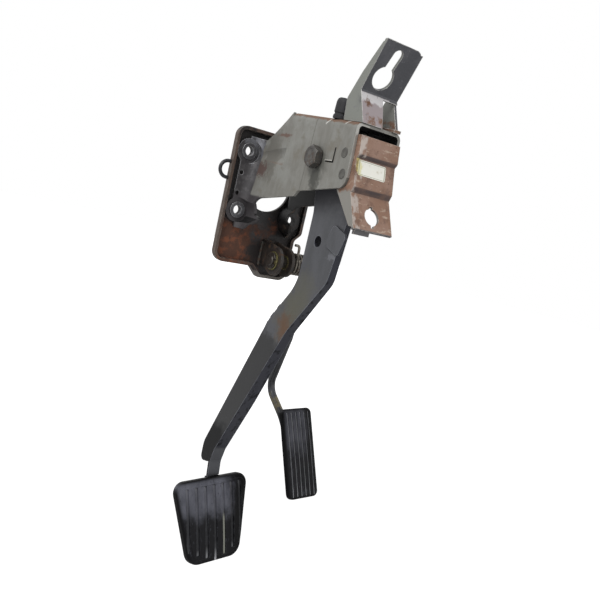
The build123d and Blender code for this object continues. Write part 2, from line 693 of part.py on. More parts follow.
def arm_taper():
    """Wedge that takes the flanges down to their shallow depth at the top."""
    top, low = PIVOT_Z + 2 * CROWN_RADIUS, PIVOT_Z - ARM_DROP * ARM_TAPER_END
    edge = ARM_NEAR_Y + ARM_TOP_DEPTH
    shape = outline([(edge, top), (edge, PIVOT_Z - ARM_THROAT_DROP), (-ARM_NEAR_Y, low), (ARM_DEPTH, low),
                     (ARM_DEPTH, top)])
    return slab_x(shape, PIVOT_X - ARM_SWEEP, PIVOT_X + ARM_SWEEP)


def arm_strap(pad):
    """The rear flange carried on below the web and welded to the back of the brake pad."""
    foot_x = PIVOT_X - ARM_SWEEP
    foot_z = PIVOT_Z - ARM_DROP
    top = (pad * Pos(0, BRAKE_PAD_HEIGHT / 2, -BRAKE_PAD_RUBBER)).position
    end = (pad * Pos(0, STRAP_WELD_Y, -BRAKE_PAD_RUBBER)).position
    run = [(end.X, end.Z), (top.X, top.Z), (foot_x, foot_z - ARM_SHEET),
           (foot_x + 2 * ARM_SHEET, foot_z + ARM_FOOT_HEIGHT)]
    strap = slab_y(bent_sheet(run, ARM_SHEET, STRAP_BEND), ARM_NEAR_Y, -ARM_NEAR_Y)
    strap += slab_y(bent_sheet(run[:2], 2 * ARM_SHEET, 0), ARM_NEAR_Y, -ARM_NEAR_Y)
    front = Pos(0, 0, -BRAKE_PAD_RUBBER + BRAKE_PAD_WIDTH / 2) * Box(
        2 * BRAKE_PAD_WIDTH, BRAKE_PAD_HEIGHT + 2 * FREE_CLEARANCE, BRAKE_PAD_WIDTH)
    return strap - pad * front


def brake_arm(pad):
    """Stamped web with folded flanges, the hub hole and the boss that the push-rod pin runs through."""
    shape = arm_outline()
    full = slab_y(shape, ARM_NEAR_Y, -ARM_NEAR_Y)
    hollow = offset(shape, amount=-ARM_SHEET)
    body = full - slab_y(hollow, ARM_NEAR_Y + ARM_SHEET, -ARM_NEAR_Y) - arm_taper()
    body -= rod_y(HUB_RADIUS, PIVOT_X, PIVOT_Z, ARM_NEAR_Y, -ARM_NEAR_Y)
    pin_x, pin_z = rod_pin_place()
    body += rod_y(ROD_PIN_RADIUS + ROD_PIN_WALL, pin_x, pin_z, ARM_NEAR_Y + ARM_SHEET / 2, -ARM_NEAR_Y)
    body -= rod_y(ROD_PIN_RADIUS, pin_x, pin_z, ARM_NEAR_Y, -ARM_NEAR_Y)
    return body + arm_strap(pad)


def rod_pin_place():
    """Centre of the push-rod pin hole, in side view."""
    return PIVOT_X + ROD_PIN_LEAD, PIVOT_Z - ROD_PIN_DROP


def striker_tab():
    """A small plate on the web that works the stop-lamp switch."""
    middle = (arm_rear_x() - STRIKER_WIDTH / 2 + STRIKER_OVERHANG, PIVOT_Z - STRIKER_DROP)
    face = RectangleRounded(STRIKER_WIDTH, STRIKER_HEIGHT, 4.0)
    return slab_y(Pos(*middle) * (Rot(0, 0, -STRIKER_TILT) * face), ARM_NEAR_Y - STRIKER_SHEET, ARM_NEAR_Y)


# Pads

def pad_frame(x, y, z, tilt, yaw, roll):
    """Location of a pad's face: its own X to the side, Y up the pad and Z out of the face."""
    turn, lean, spin = radians(yaw), radians(tilt), radians(roll)
    side = Vector(-sin(turn), cos(turn), 0)
    rear = Vector(cos(turn), sin(turn), 0)
    up = Vector(0, 0, 1) * cos(lean) - rear * sin(lean)
    across = side * cos(spin) + up * sin(spin)
    return Plane(origin=(x, y, z), x_dir=across, z_dir=side.cross(up)).location


def brake_pad_outline(inset=0.0):
    """Front view of the brake pad: wide at the top, with round lower corners."""
    high = BRAKE_PAD_HEIGHT / 2 - inset
    wide = BRAKE_PAD_WIDTH / 2 - inset
    narrow = BRAKE_PAD_FOOT_WIDTH / 2 - inset
    return outline([(-wide, high), (-narrow, -high), (narrow, -high), (wide, high)],
                   [BRAKE_PAD_TOP_CORNER - inset, BRAKE_PAD_LOW_CORNER - inset,
                    BRAKE_PAD_LOW_CORNER - inset, BRAKE_PAD_TOP_CORNER - inset])


def grooves(count, width, height, side_taper):
    """Upright grooves of a pad's face, each one shortened where the pad narrows."""
    pitch = width / count
    lines = []
    for index in range(count):
        x = (index - (count - 1) / 2) * pitch
        length = height - abs(x) * side_taper
        lines.append(Pos(x, abs(x) * side_taper / 2) * SlotOverall(length, RIB_GROOVE_WIDTH, rotation=90))
    return lines


def brake_pad_rubber(pad):
    """Ribbed rubber cover with a pocket in its back for the steel plate."""
    body = extrude(brake_pad_outline(), amount=-BRAKE_PAD_RUBBER)
    body = fillet(body.edges().group_by(Axis.Z)[-1], PAD_EDGE)
    pocket = extrude(Pos(0, 0, -BRAKE_PAD_RUBBER) * brake_pad_outline(BRAKE_PAD_LIP), amount=BRAKE_PAD_PLATE)
    for line in grooves(BRAKE_RIB_COUNT, BRAKE_FIELD_WIDTH, BRAKE_GROOVE_LENGTH, GROOVE_SHORTENING):
        body -= extrude(line, amount=-RIB_GROOVE_DEPTH)
    return pad * (body - pocket)


def brake_pad_plate(pad):
    """Steel plate in the back of the brake pad."""
    back = Pos(0, 0, -BRAKE_PAD_RUBBER) * brake_pad_outline(BRAKE_PAD_LIP)
    return pad * extrude(back, amount=BRAKE_PAD_PLATE)


def accel_pad_outline(inset=0.0):
    """Front view of the accelerator pad."""
    high = ACCEL_PAD_HEIGHT / 2 - inset
    wide = ACCEL_PAD_WIDTH / 2 - inset
    return outline([(-wide, high), (-wide, -high), (wide, -high), (wide, high)],
                   ACCEL_PAD_CORNER - inset / 2)


def accel_pad_rubber(pad):
    """Narrow ribbed pad, also with a pocket for its plate."""
    body = extrude(accel_pad_outline(), amount=-ACCEL_PAD_RUBBER)
    body = fillet(body.edges().group_by(Axis.Z)[-1], PAD_EDGE)
    pocket = extrude(Pos(0, 0, -ACCEL_PAD_RUBBER) * accel_pad_outline(ACCEL_PAD_LIP), amount=ACCEL_PAD_PLATE)
    for line in grooves(ACCEL_RIB_COUNT, ACCEL_FIELD_WIDTH, ACCEL_GROOVE_LENGTH, 0.0):
        body -= extrude(line, amount=-RIB_GROOVE_DEPTH)
    return pad * (body - pocket)


def accel_pad_plate(pad):
    """Steel plate of the accelerator pad."""
    back = Pos(0, 0, -ACCEL_PAD_RUBBER) * accel_pad_outline(ACCEL_PAD_LIP)
    return pad * extrude(back, amount=ACCEL_PAD_PLATE)


# Springs

def coil_step(x, y, z):
    """A step along the assembly's axes, as seen by a coil wound about its own Z."""
    return Vector(x, -z, y)


def torsion_spring(radius, wire, turns, pitch, first_leg, last_leg):
    """One wire wound about Y. Each leg is a straight length, then the steps of its bends."""
    helix = Helix(pitch, pitch * turns, radius)
    first = (helix @ 0) - (helix % 0) * first_leg[0]
    last = (helix @ 1) + (helix % 1) * last_leg[0]
    head, tail = [first], [last]
    for step in first_leg[1:]:
        head.insert(0, head[0] + coil_step(*step))
    for step in last_leg[1:]:
        tail.append(tail[-1] + coil_step(*step))
    run_in = FilletPolyline(*head, helix @ 0, radius=wire)
    run_out = FilletPolyline(helix @ 1, *tail, radius=wire)
    path = Wire([*run_in.edges(), helix, *run_out.edges()])
    section = Plane(origin=head[0], z_dir=run_in % 0) * Circle(wire / 2)
    return Rot(-90, 0, 0) * sweep(section, path=path, is_frenet=False)


def brake_return_spring():
    """Torsion spring round the hub; its legs reach the box top and the arm's rear flange."""
    radius = HUB_RADIUS + FREE_CLEARANCE + RETURN_WIRE / 2
    near_y = ARM_NEAR_Y + ARM_SHEET + RETURN_WIRE / 2 + FREE_CLEARANCE
    far_y = near_y + RETURN_TURNS * RETURN_PITCH
    x = PIVOT_X + radius
    rise = top_z(x) - BOX_SHEET - END_CLEARANCE - RETURN_WIRE / 2 - PIVOT_Z
    reach = arm_rear_x() - ARM_SHEET - RETURN_WIRE / 2 - END_CLEARANCE - x
    spring = torsion_spring(radius, RETURN_WIRE, RETURN_TURNS, RETURN_PITCH,
                            [rise, (-radius, 0, 0)], [radius, (reach, 0, -RETURN_LEG_SLOPE * reach)])
    return Pos(PIVOT_X, far_y, PIVOT_Z) * mirrored_y(spring)


def accel_spring():
    """Torsion spring beside the far ear; one leg stands up, the other hooks round the rod."""
    radius, wire = ACCEL_SPRING_RADIUS, ACCEL_SPRING_WIRE
    lean = ROD_KNEE_LEAD * (ACCEL_HOOK_DROP - ACCEL_SHAFT_RADIUS) / ROD_KNEE_DROP
    forward = radius + ROD_RADIUS + lean + END_CLEARANCE + wire / 2
    across = EYE_NEAR_Y - ACCEL_SPRING_END + ACCEL_EYE_WIDTH
    spring = torsion_spring(radius, wire, ACCEL_SPRING_TURNS, ACCEL_SPRING_PITCH,
                            [2 * radius, (0, -2 * wire, 0)],
                            [radius, (-forward, 0, radius - ACCEL_HOOK_DROP), (0, across, 0)])
    return Pos(ACCEL_X, ACCEL_SPRING_START, ACCEL_Z) * spring


# Accelerator

def accel_foot_z():
    """Lower end of the accelerator bracket, just above the plate's rim."""
    return PLATE_SHEET + FREE_CLEARANCE - PLATE_BOTTOM


def accel_ear():
    """Side view of one ear of the accelerator bracket."""
    low, high = accel_foot_z(), ACCEL_Z + ACCEL_EAR_RADIUS
    skin = [(PLATE_SHEET, high + ACCEL_WEB_RISE), (PLATE_SHEET, low), (PLATE_RIM_DEPTH + 1.0, low),
            (ACCEL_X, ACCEL_Z - ACCEL_EAR_RADIUS), (ACCEL_X, high)]
    return outline(skin) + Pos(ACCEL_X, ACCEL_Z) * Circle(ACCEL_EAR_RADIUS)


def accel_bracket():
    """Two ears joined by a web that is welded to the floor of the plate."""
    near, far = ACCEL_EAR_Y, EAR_FAR_Y
    ears = slab_y(accel_ear(), near, near + ACCEL_EAR_SHEET) + slab_y(accel_ear(), far - ACCEL_EAR_SHEET, far)
    low, high = accel_foot_z(), ACCEL_Z + ACCEL_EAR_RADIUS + ACCEL_WEB_RISE
    web = outline([(near, low), (far, low), (far, high), (near, high)])
    body = ears + slab_x(web, PLATE_SHEET, PLATE_SHEET + ACCEL_EAR_SHEET)
    bore = ACCEL_SHAFT_RADIUS + RUNNING_CLEARANCE + ACCEL_BUSH_WALL
    return body - rod_y(bore, ACCEL_X, ACCEL_Z, near, far)


def accel_ring(outer, inner, near, far):
    """A ring or tube on the accelerator's axis."""
    return rod_y(outer, ACCEL_X, ACCEL_Z, near, far) - rod_y(inner, ACCEL_X, ACCEL_Z, near, far)


def accel_bushes():
    """A flanged brass bush in each ear."""
    bore = ACCEL_SHAFT_RADIUS + RUNNING_CLEARANCE
    outer = bore + ACCEL_BUSH_WALL
    near, far = ACCEL_EAR_Y, EAR_FAR_Y
    first = accel_ring(outer, bore, near, near + ACCEL_EAR_SHEET)
    first += accel_ring(ACCEL_BUSH_FLANGE_RADIUS, bore, near - ACCEL_BUSH_FLANGE, near)
    second = accel_ring(outer, bore, far - ACCEL_EAR_SHEET, far)
    second += accel_ring(ACCEL_BUSH_FLANGE_RADIUS, bore, far, far + ACCEL_BUSH_FLANGE)
    return [first, second]


def clip_near_y():
    """Near face of the retaining clip."""
    return ACCEL_EAR_Y - ACCEL_BUSH_FLANGE - END_CLEARANCE - CLIP_SHEET


def accel_shaft():
    near = clip_near_y() - CLIP_SHEET
    shaft = rod_y(ACCEL_SHAFT_RADIUS, ACCEL_X, ACCEL_Z, near, LEVER_FAR_Y + 1.0)
    return chamfer(shaft.edges().group_by(Axis.Y)[0], CLIP_SHEET / 2)


def accel_clip():
    """Open retaining clip on the near end of the shaft."""
    near = clip_near_y()
    ring = accel_ring(CLIP_RADIUS, ACCEL_SHAFT_RADIUS, near, near + CLIP_SHEET)
    gap = Pos(ACCEL_X + CLIP_RADIUS / 2, ACCEL_Z) * Rectangle(CLIP_RADIUS, CLIP_GAP)
    return ring - slab_y(gap, near, near + CLIP_SHEET)


def accel_lever():
    """Flat lever that pulls the throttle cable."""
    angle = radians(ACCEL_LEVER_ANGLE)
    end = (ACCEL_X + ACCEL_LEVER_LENGTH * cos(angle), ACCEL_Z + ACCEL_LEVER_LENGTH * sin(angle))
    hub_radius = ACCEL_SHAFT_RADIUS + ACCEL_EYE_WALL
    tip_radius = CABLE_HOLE_RADIUS + LEVER_TIP_WALL
    across = Vector(-sin(angle), cos(angle))
    sides = [(ACCEL_X + across.X * hub_radius, ACCEL_Z + across.Y * hub_radius),
             (ACCEL_X - across.X * hub_radius, ACCEL_Z - across.Y * hub_radius),
             (end[0] - across.X * tip_radius, end[1] - across.Y * tip_radius),
             (end[0] + across.X * tip_radius, end[1] + across.Y * tip_radius)]
    face = outline(sides) + Pos(ACCEL_X, ACCEL_Z) * Circle(hub_radius) + Pos(*end) * Circle(tip_radius)
    face -= Pos(ACCEL_X, ACCEL_Z) * Circle(ACCEL_SHAFT_RADIUS)
    face -= Pos(*end) * Circle(CABLE_HOLE_RADIUS)
    return slab_y(face, EYE_FAR_Y, LEVER_FAR_Y)


def rod_route(pad):
    """Centre line of the rod, from its eye to the back of the accelerator pad."""
    top = Vector(ACCEL_X, (EYE_NEAR_Y + EYE_FAR_Y) / 2, ACCEL_Z - ACCEL_SHAFT_RADIUS - 1.0)
    behind = -ACCEL_PAD_RUBBER - ROD_RADIUS
    entry = (pad * Pos(-ACCEL_PAD_WIDTH / 3, ACCEL_PAD_HEIGHT * ROD_ENTRY, behind)).position
    end = (pad * Pos(-ACCEL_PAD_WIDTH / 9, 0, behind)).position
    knee = Vector(ACCEL_X - ROD_KNEE_LEAD, top.Y, ACCEL_Z - ROD_KNEE_DROP)
    toe = Vector(ACCEL_X - ROD_TOE_LEAD, top.Y + ROD_TOE_SIDE, ACCEL_Z - ROD_TOE_DROP)
    return [top, knee, toe, entry, end]


def accel_rod(pad):
    """Bent round bar with its welded eye."""
    route = rod_route(pad)
    path = FilletPolyline(*route, radius=ROD_BEND_RADIUS)
    section = Plane(origin=route[0], z_dir=path % 0) * Circle(ROD_RADIUS)
    bar = sweep(section, path=path)
    eye = rod_y(ACCEL_SHAFT_RADIUS + ACCEL_EYE_WALL, ACCEL_X, ACCEL_Z, EYE_NEAR_Y, EYE_FAR_Y)
    return (bar + eye) - rod_y(ACCEL_SHAFT_RADIUS, ACCEL_X, ACCEL_Z, EYE_NEAR_Y, EYE_FAR_Y)


def assembly():
    """Every named piece of the assembly."""
    brake_pad = pad_frame(BRAKE_PAD_X, 0, BRAKE_PAD_Z, BRAKE_PAD_TILT, BRAKE_PAD_YAW, BRAKE_PAD_ROLL)
    accel_pad = pad_frame(
        ACCEL_PAD_X, ACCEL_PAD_Y, ACCEL_PAD_Z, ACCEL_PAD_TILT, ACCEL_PAD_YAW, ACCEL_PAD_ROLL
    )
    return {
        "firewall_plate": firewall_plate(),
        "harness_loop": harness_loop(),
        "box_channel": box_channel(),
        "boss_washers": boss_washers(),
        "rear_bracket": rear_bracket(),
        "upper_bracket": upper_bracket(),
        "bump_stop": bump_stop(),
        "pivot_bolt": pivot_bolt(),
        "pivot_washer": pivot_washer(),
        "pivot_nut": pivot_nut(),
        "pivot_sleeve": pivot_sleeve(),
        "brake_hub": brake_hub(),
        "brake_bushes": brake_bushes(),
        "brake_arm": brake_arm(brake_pad),
        "striker_tab": striker_tab(),
        "brake_pad_plate": brake_pad_plate(brake_pad),
        "brake_pad_rubber": brake_pad_rubber(brake_pad),
        "brake_return_spring": brake_return_spring(),
        "accel_bracket": accel_bracket(),
        "accel_bushes": accel_bushes(),
        "accel_shaft": accel_shaft(),
        "accel_clip": accel_clip(),
        "accel_spring": accel_spring(),
        "accel_lever": accel_lever(),
        "accel_rod": accel_rod(accel_pad),
        "accel_pad_plate": accel_pad_plate(accel_pad),
        "accel_pad_rubber": accel_pad_rubber(accel_pad),
    }


os.makedirs("parts", exist_ok=True)
for name, shape in assembly().items():
    solids = shape if isinstance(shape, list) else [shape]
    export_step(Compound([solid for part in solids for solid in part.solids()]), f"parts/{name}.step")
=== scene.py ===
"""Finishes, wear, fasteners, springs and pad covers for a car pedal assembly."""
import json
from collections import namedtuple
from math import atan2, ceil, cos, pi, radians, sin, tan

import bmesh
import bpy
from bpy.props import FloatProperty, FloatVectorProperty, IntProperty, PointerProperty
from mathutils import Matrix, Vector


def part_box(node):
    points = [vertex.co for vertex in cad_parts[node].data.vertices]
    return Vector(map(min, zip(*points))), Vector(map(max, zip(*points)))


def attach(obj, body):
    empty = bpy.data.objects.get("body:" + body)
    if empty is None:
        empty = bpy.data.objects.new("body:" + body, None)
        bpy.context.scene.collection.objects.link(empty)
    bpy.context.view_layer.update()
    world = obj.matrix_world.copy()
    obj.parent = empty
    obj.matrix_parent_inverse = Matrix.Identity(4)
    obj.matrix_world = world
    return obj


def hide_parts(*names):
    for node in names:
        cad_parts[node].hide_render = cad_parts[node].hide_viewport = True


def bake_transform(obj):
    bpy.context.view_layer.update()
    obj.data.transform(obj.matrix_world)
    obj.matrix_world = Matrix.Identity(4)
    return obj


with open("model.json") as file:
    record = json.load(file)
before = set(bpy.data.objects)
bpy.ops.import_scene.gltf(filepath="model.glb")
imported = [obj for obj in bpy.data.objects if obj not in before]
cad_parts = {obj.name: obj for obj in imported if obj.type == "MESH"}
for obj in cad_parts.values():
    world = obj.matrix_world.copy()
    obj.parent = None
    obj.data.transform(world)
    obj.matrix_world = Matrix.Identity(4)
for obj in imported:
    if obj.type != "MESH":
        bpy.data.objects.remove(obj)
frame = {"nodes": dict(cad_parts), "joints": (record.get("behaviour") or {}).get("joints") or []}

bl_info = {
    "name": "Pedal assembly dressing",
    "version": (1, 0, 0),
    "blender": (4, 5, 0),
    "location": "View3D > Sidebar > Pedals",
    "description": "Dresses a packed brake and accelerator pedal assembly with finishes and detail",
    "category": "Object",
}

NODES = frame["nodes"]
HINGES = {joint["name"]: joint for joint in frame["joints"]}
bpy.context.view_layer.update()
MM = 0.001
WALL_SHEET = 2.5 * MM
HEX_COLUMNS = 48
BRAKE_AXIS = Vector(HINGES["brake_hinge"]["pos_m"])
ACCEL_AXIS = Vector(HINGES["accelerator_hinge"]["pos_m"])

Coat = namedtuple("Coat", "mask colour roughness metallic")


# Shared helpers

def linear(code):
    """Turn an sRGB hex colour into the linear one that a shader takes."""
    channels = [int(code[i:i + 2], 16) / 255 for i in (0, 2, 4)]
    return (*[c / 12.92 if c <= 0.04045 else ((c + 0.055) / 1.055) ** 2.4 for c in channels], 1.0)


def add(tree, kind, inputs=None, **settings):
    """Add a node with its settings, and set or link its inputs."""
    node = tree.nodes.new(kind)
    for name, value in settings.items():
        setattr(node, name, value)
    for key, value in (inputs or {}).items():
        if isinstance(value, bpy.types.NodeSocket):
            tree.links.new(value, node.inputs[key])
        else:
            node.inputs[key].default_value = value
    return node


def mm(*sizes):
    """A place or a set of sizes in millimetres, turned to metres."""
    return tuple(size * MM for size in sizes)


def node_middle(name):
    """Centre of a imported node's box."""
    low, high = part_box(name)
    return (low + high) / 2


def clamped(share):
    """A share held between none and all."""
    return min(1.0, max(0.0, share))


def new_object(name, mesh):
    """Put a mesh in the scene."""
    piece = bpy.data.objects.new(name, mesh)
    bpy.context.scene.collection.objects.link(piece)
    return piece


def mesh_from(name, build):
    """Make a mesh from a function that fills a bmesh, merged and facing outwards."""
    shape = bmesh.new()
    build(shape)
    bmesh.ops.remove_doubles(shape, verts=shape.verts, dist=1e-6)
    bmesh.ops.recalc_face_normals(shape, faces=shape.faces)
    mesh = bpy.data.meshes.new(name)
    shape.to_mesh(mesh)
    shape.free()
    return mesh


def smooth_by_angle(mesh, angle):
    """Shade a mesh smooth, but keep its sharp edges."""
    mesh.shade_smooth()
    mesh.set_sharp_from_angle(angle=angle)


def circle(radius, height, columns):
    """Points round a circle about Z at one height."""
    return [(radius * cos(2 * pi * i / columns), radius * sin(2 * pi * i / columns), height)
            for i in range(columns)]


def join_rings(shape, rings, close_ends=True):
    """Bridge rings of equally many points, and close the ends with a fan round their middle."""
    placed = [[shape.verts.new(point) for point in ring] for ring in rings]
    for lower, upper in zip(placed, placed[1:]):
        for i in range(len(lower)):
            j = (i + 1) % len(lower)
            shape.faces.new((lower[i], lower[j], upper[j], upper[i]))
    for end in (placed[0], placed[-1]) if close_ends else ():
        middle = shape.verts.new(sum((v.co for v in end), Vector()) / len(end))
        for i in range(len(end)):
            shape.faces.new((end[i], end[(i + 1) % len(end)], middle))


def rounded_outline(corners, radii, steps=8):
    """Points round a flat outline whose corners are rounded."""
    points = []
    for i, (corner, radius) in enumerate(zip(corners, radii)):
        here = Vector(corner)
        before = (Vector(corners[i - 1]) - here).normalized()
        after = (Vector(corners[(i + 1) % len(corners)]) - here).normalized()
        half = before.angle(after) / 2
        centre = here + (before + after).normalized() * radius / sin(half)
        start = here + before * radius / tan(half) - centre
        end = here + after * radius / tan(half) - centre
        sweep = pi - 2 * half
        turn = 1 if start.x * end.y > start.y * end.x else -1
        for step in range(steps + 1):
            angle = turn * sweep * step / steps
            points.append(centre + Vector((start.x * cos(angle) - start.y * sin(angle),
                                           start.x * sin(angle) + start.y * cos(angle))))
    return points


def curve_through(name, routes, cyclic=False):
    """A curve object with one straight-sided spline for each route."""
    curve = bpy.data.curves.new(name, "CURVE")
    curve.dimensions = "3D"
    for route in routes:
        spline = curve.splines.new("POLY")
        spline.points.add(len(route) - 1)
        for point, place in zip(spline.points, route):
            point.co = (*place, 1.0)
        spline.use_cyclic_u = cyclic
    return new_object(name, curve)


def bake_modifier(source, name, tree, values):
    """Run a geometry tree on an object, and keep only the plain mesh that comes out."""
    modifier = source.modifiers.new("Build", "NODES")
    modifier.node_group = tree
    sockets = {item.name: item.identifier for item in tree.interface.items_tree if item.in_out == "INPUT"}
    for label, value in values.items():
        modifier[sockets[label]] = value
    source.update_tag()
    bpy.context.view_layer.update()
    result = source.evaluated_get(bpy.context.evaluated_depsgraph_get())
    mesh = bpy.data.meshes.new_from_object(result)
    mesh.name = name
    source.modifiers.remove(modifier)
    bpy.data.objects.remove(source)
    return new_object(name, mesh)


def new_tree(name, inputs):
    """A geometry tree with its named inputs, ready for nodes."""
    tree = bpy.data.node_groups.new(name, "GeometryNodeTree")
    tree.interface.new_socket("Geometry", in_out="OUTPUT", socket_type="NodeSocketGeometry")
    tree.interface.new_socket("Geometry", in_out="INPUT", socket_type="NodeSocketGeometry")
    for label, kind in inputs.items():
        tree.interface.new_socket(label, in_out="INPUT", socket_type=kind)
    return tree, add(tree, "NodeGroupInput").outputs


def close_tree(tree, geometry, finish):
    """End a tree: real geometry, with its material."""
    real = add(tree, "GeometryNodeRealizeInstances", {"Geometry": geometry})
    painted = add(tree, "GeometryNodeSetMaterial", {"Geometry": real.outputs[0], "Material": finish})
    add(tree, "NodeGroupOutput", {"Geometry": painted.outputs[0]})
    return tree


# Geometry trees: what repeats, and what follows a path

def wire_tree():
    """Round wire along a path, its corners bent and its ends cut square."""
    tree, given = new_tree("Bent wire", {
        "Wire diameter": "NodeSocketFloat", "Bend radius": "NodeSocketFloat",
        "Sides": "NodeSocketInt", "Finish": "NodeSocketMaterial"})
    bent = add(tree, "GeometryNodeFilletCurve", {
        "Curve": given["Geometry"], "Radius": given["Bend radius"], "Limit Radius": True, "Count": 5},
        mode="POLY")
    radius = add(tree, "ShaderNodeMath", {0: given["Wire diameter"], 1: 0.5}, operation="MULTIPLY")
    ring = add(tree, "GeometryNodeCurvePrimitiveCircle", {
        "Resolution": given["Sides"], "Radius": radius.outputs[0]}, mode="RADIUS")
    wire = add(tree, "GeometryNodeCurveToMesh", {
        "Curve": bent.outputs[0], "Profile Curve": ring.outputs[0], "Fill Caps": True})
    smooth = add(tree, "GeometryNodeSetShadeSmooth", {"Geometry": wire.outputs[0]})
    return close_tree(tree, smooth.outputs[0], given["Finish"])


def bead_tree():
    """A weld bead: overlapping frozen ripples along a path."""
    tree, given = new_tree("Weld bead", {
        "Ripple spacing": "NodeSocketFloat", "Bead width": "NodeSocketFloat",
        "Seed": "NodeSocketInt", "Finish": "NodeSocketMaterial"})
    points = add(tree, "GeometryNodeCurveToPoints", {
        "Curve": given["Geometry"], "Length": given["Ripple spacing"]}, mode="LENGTH")
    ripple = add(tree, "GeometryNodeMeshIcoSphere", {"Radius": 0.5, "Subdivisions": 3})
    uneven = add(tree, "FunctionNodeRandomValue", {
        "Min": (0.85, 0.85, 0.6), "Max": (1.1, 1.1, 0.9), "Seed": given["Seed"]}, data_type="FLOAT_VECTOR")
    size = add(tree, "ShaderNodeVectorMath", {
        "Vector": uneven.outputs["Value"], "Scale": given["Bead width"]}, operation="SCALE")
    ripples = add(tree, "GeometryNodeInstanceOnPoints", {
        "Points": points.outputs["Points"], "Instance": ripple.outputs["Mesh"],
        "Rotation": points.outputs["Rotation"], "Scale": size.outputs[0]})
    smooth = add(tree, "GeometryNodeSetShadeSmooth", {"Geometry": ripples.outputs[0]})
    return close_tree(tree, smooth.outputs[0], given["Finish"])


def groove_tree():
    """Parallel grooves cut into a cover, set low on it, each one shorter the further out it lies."""
    tree, given = new_tree("Pad grooves", {
        "Cutter": "NodeSocketObject", "Count": "NodeSocketInt", "Pitch": "NodeSocketFloat",
        "Length": "NodeSocketFloat", "Shortening": "NodeSocketFloat", "Drop": "NodeSocketFloat",
        "Finish": "NodeSocketMaterial"})
    step = add(tree, "ShaderNodeCombineXYZ", {"X": given["Pitch"]})
    line = add(tree, "GeometryNodeMeshLine", {
        "Count": given["Count"], "Offset": step.outputs[0]}, mode="OFFSET")
    last = add(tree, "ShaderNodeMath", {0: given["Count"], 1: 1.0}, operation="SUBTRACT")
    span = add(tree, "ShaderNodeMath", {0: last.outputs[0], 1: given["Pitch"]}, operation="MULTIPLY")
    back = add(tree, "ShaderNodeMath", {0: span.outputs[0], 1: -0.5}, operation="MULTIPLY")
    shift = add(tree, "ShaderNodeCombineXYZ", {"X": back.outputs[0]})
    centred = add(tree, "GeometryNodeSetPosition", {"Geometry": line.outputs[0], "Offset": shift.outputs[0]})
    place = add(tree, "GeometryNodeInputPosition")
    axes = add(tree, "ShaderNodeSeparateXYZ", {"Vector": place.outputs[0]})
    away = add(tree, "ShaderNodeMath", {0: axes.outputs["X"]}, operation="ABSOLUTE")
    loss = add(tree, "ShaderNodeMath", {0: away.outputs[0], 1: given["Shortening"]}, operation="MULTIPLY")
    reach = add(tree, "ShaderNodeMath", {0: given["Length"], 1: loss.outputs[0]}, operation="SUBTRACT")
    stretch = add(tree, "ShaderNodeCombineXYZ", {"X": 1.0, "Y": reach.outputs[0], "Z": 1.0})
    rise = add(tree, "ShaderNodeMath", {0: loss.outputs[0], 1: 0.5}, operation="MULTIPLY")
    height = add(tree, "ShaderNodeMath", {0: rise.outputs[0], 1: given["Drop"]}, operation="SUBTRACT")
    lift = add(tree, "ShaderNodeCombineXYZ", {"Y": height.outputs[0]})
    cutter = add(tree, "GeometryNodeObjectInfo", {"Object": given["Cutter"]})
    cuts = add(tree, "GeometryNodeInstanceOnPoints", {
        "Points": centred.outputs[0], "Instance": cutter.outputs["Geometry"], "Scale": stretch.outputs[0]})
    raised = add(tree, "GeometryNodeTranslateInstances", {
        "Instances": cuts.outputs[0], "Translation": lift.outputs[0], "Local Space": False})
    real = add(tree, "GeometryNodeRealizeInstances", {"Geometry": raised.outputs[0]})
    cover = add(tree, "GeometryNodeMeshBoolean", {
        "Mesh 1": given["Geometry"], "Mesh 2": real.outputs[0]}, operation="DIFFERENCE", solver="EXACT")
    return close_tree(tree, cover.outputs["Mesh"], given["Finish"])


def stamp_tree():
    """One small form set on every seed face, square to it."""
    tree, given = new_tree("Stamped marks", {"Mark": "NodeSocketObject", "Finish": "NodeSocketMaterial"})
    seeds = add(tree, "GeometryNodeMeshToPoints", {"Mesh": given["Geometry"]}, mode="FACES")
    normal = add(tree, "GeometryNodeInputNormal")
    kept = add(tree, "GeometryNodeCaptureAttribute", {"Geometry": given["Geometry"]}, domain="FACE")
    kept.capture_items.new("VECTOR", "Out")
    tree.links.new(normal.outputs[0], kept.inputs["Out"])
    tree.links.new(kept.outputs["Geometry"], seeds.inputs["Mesh"])
    square = add(tree, "FunctionNodeAlignRotationToVector", {"Vector": kept.outputs["Out"]}, axis="Z")
    mark = add(tree, "GeometryNodeObjectInfo", {"Object": given["Mark"]})
    marks = add(tree, "GeometryNodeInstanceOnPoints", {
        "Points": seeds.outputs[0], "Instance": mark.outputs["Geometry"], "Rotation": square.outputs[0]})
    return close_tree(tree, marks.outputs[0], given["Finish"])


# Marks that a finish is built from

def object_place(tree):
    """Where a point lies on the piece, in metres."""
    return add(tree, "ShaderNodeTexCoord").outputs["Object"]


def patches(tree, size, threshold, softness, stretch=(1.0, 1.0, 1.0), seed=0.0):
    """Mask of irregular patches of about one size, given in metres."""
    scaled = add(tree, "ShaderNodeMapping", {
        "Vector": object_place(tree), "Location": (seed, seed, seed), "Scale": stretch})
    noise = add(tree, "ShaderNodeTexNoise", {
        "Vector": scaled.outputs[0], "Scale": 1 / size, "Detail": 6.0, "Roughness": 0.62})
    cut = add(tree, "ShaderNodeMapRange", {
        "Value": noise.outputs["Fac"], "From Min": threshold - softness, "From Max": threshold + softness},
        interpolation_type="SMOOTHSTEP")
    return cut.outputs["Result"]


def fine_grain(tree, size, seed):
    """Soft, even mottle for the grain of a surface."""
    return patches(tree, size, 0.5, 0.2, seed=seed)


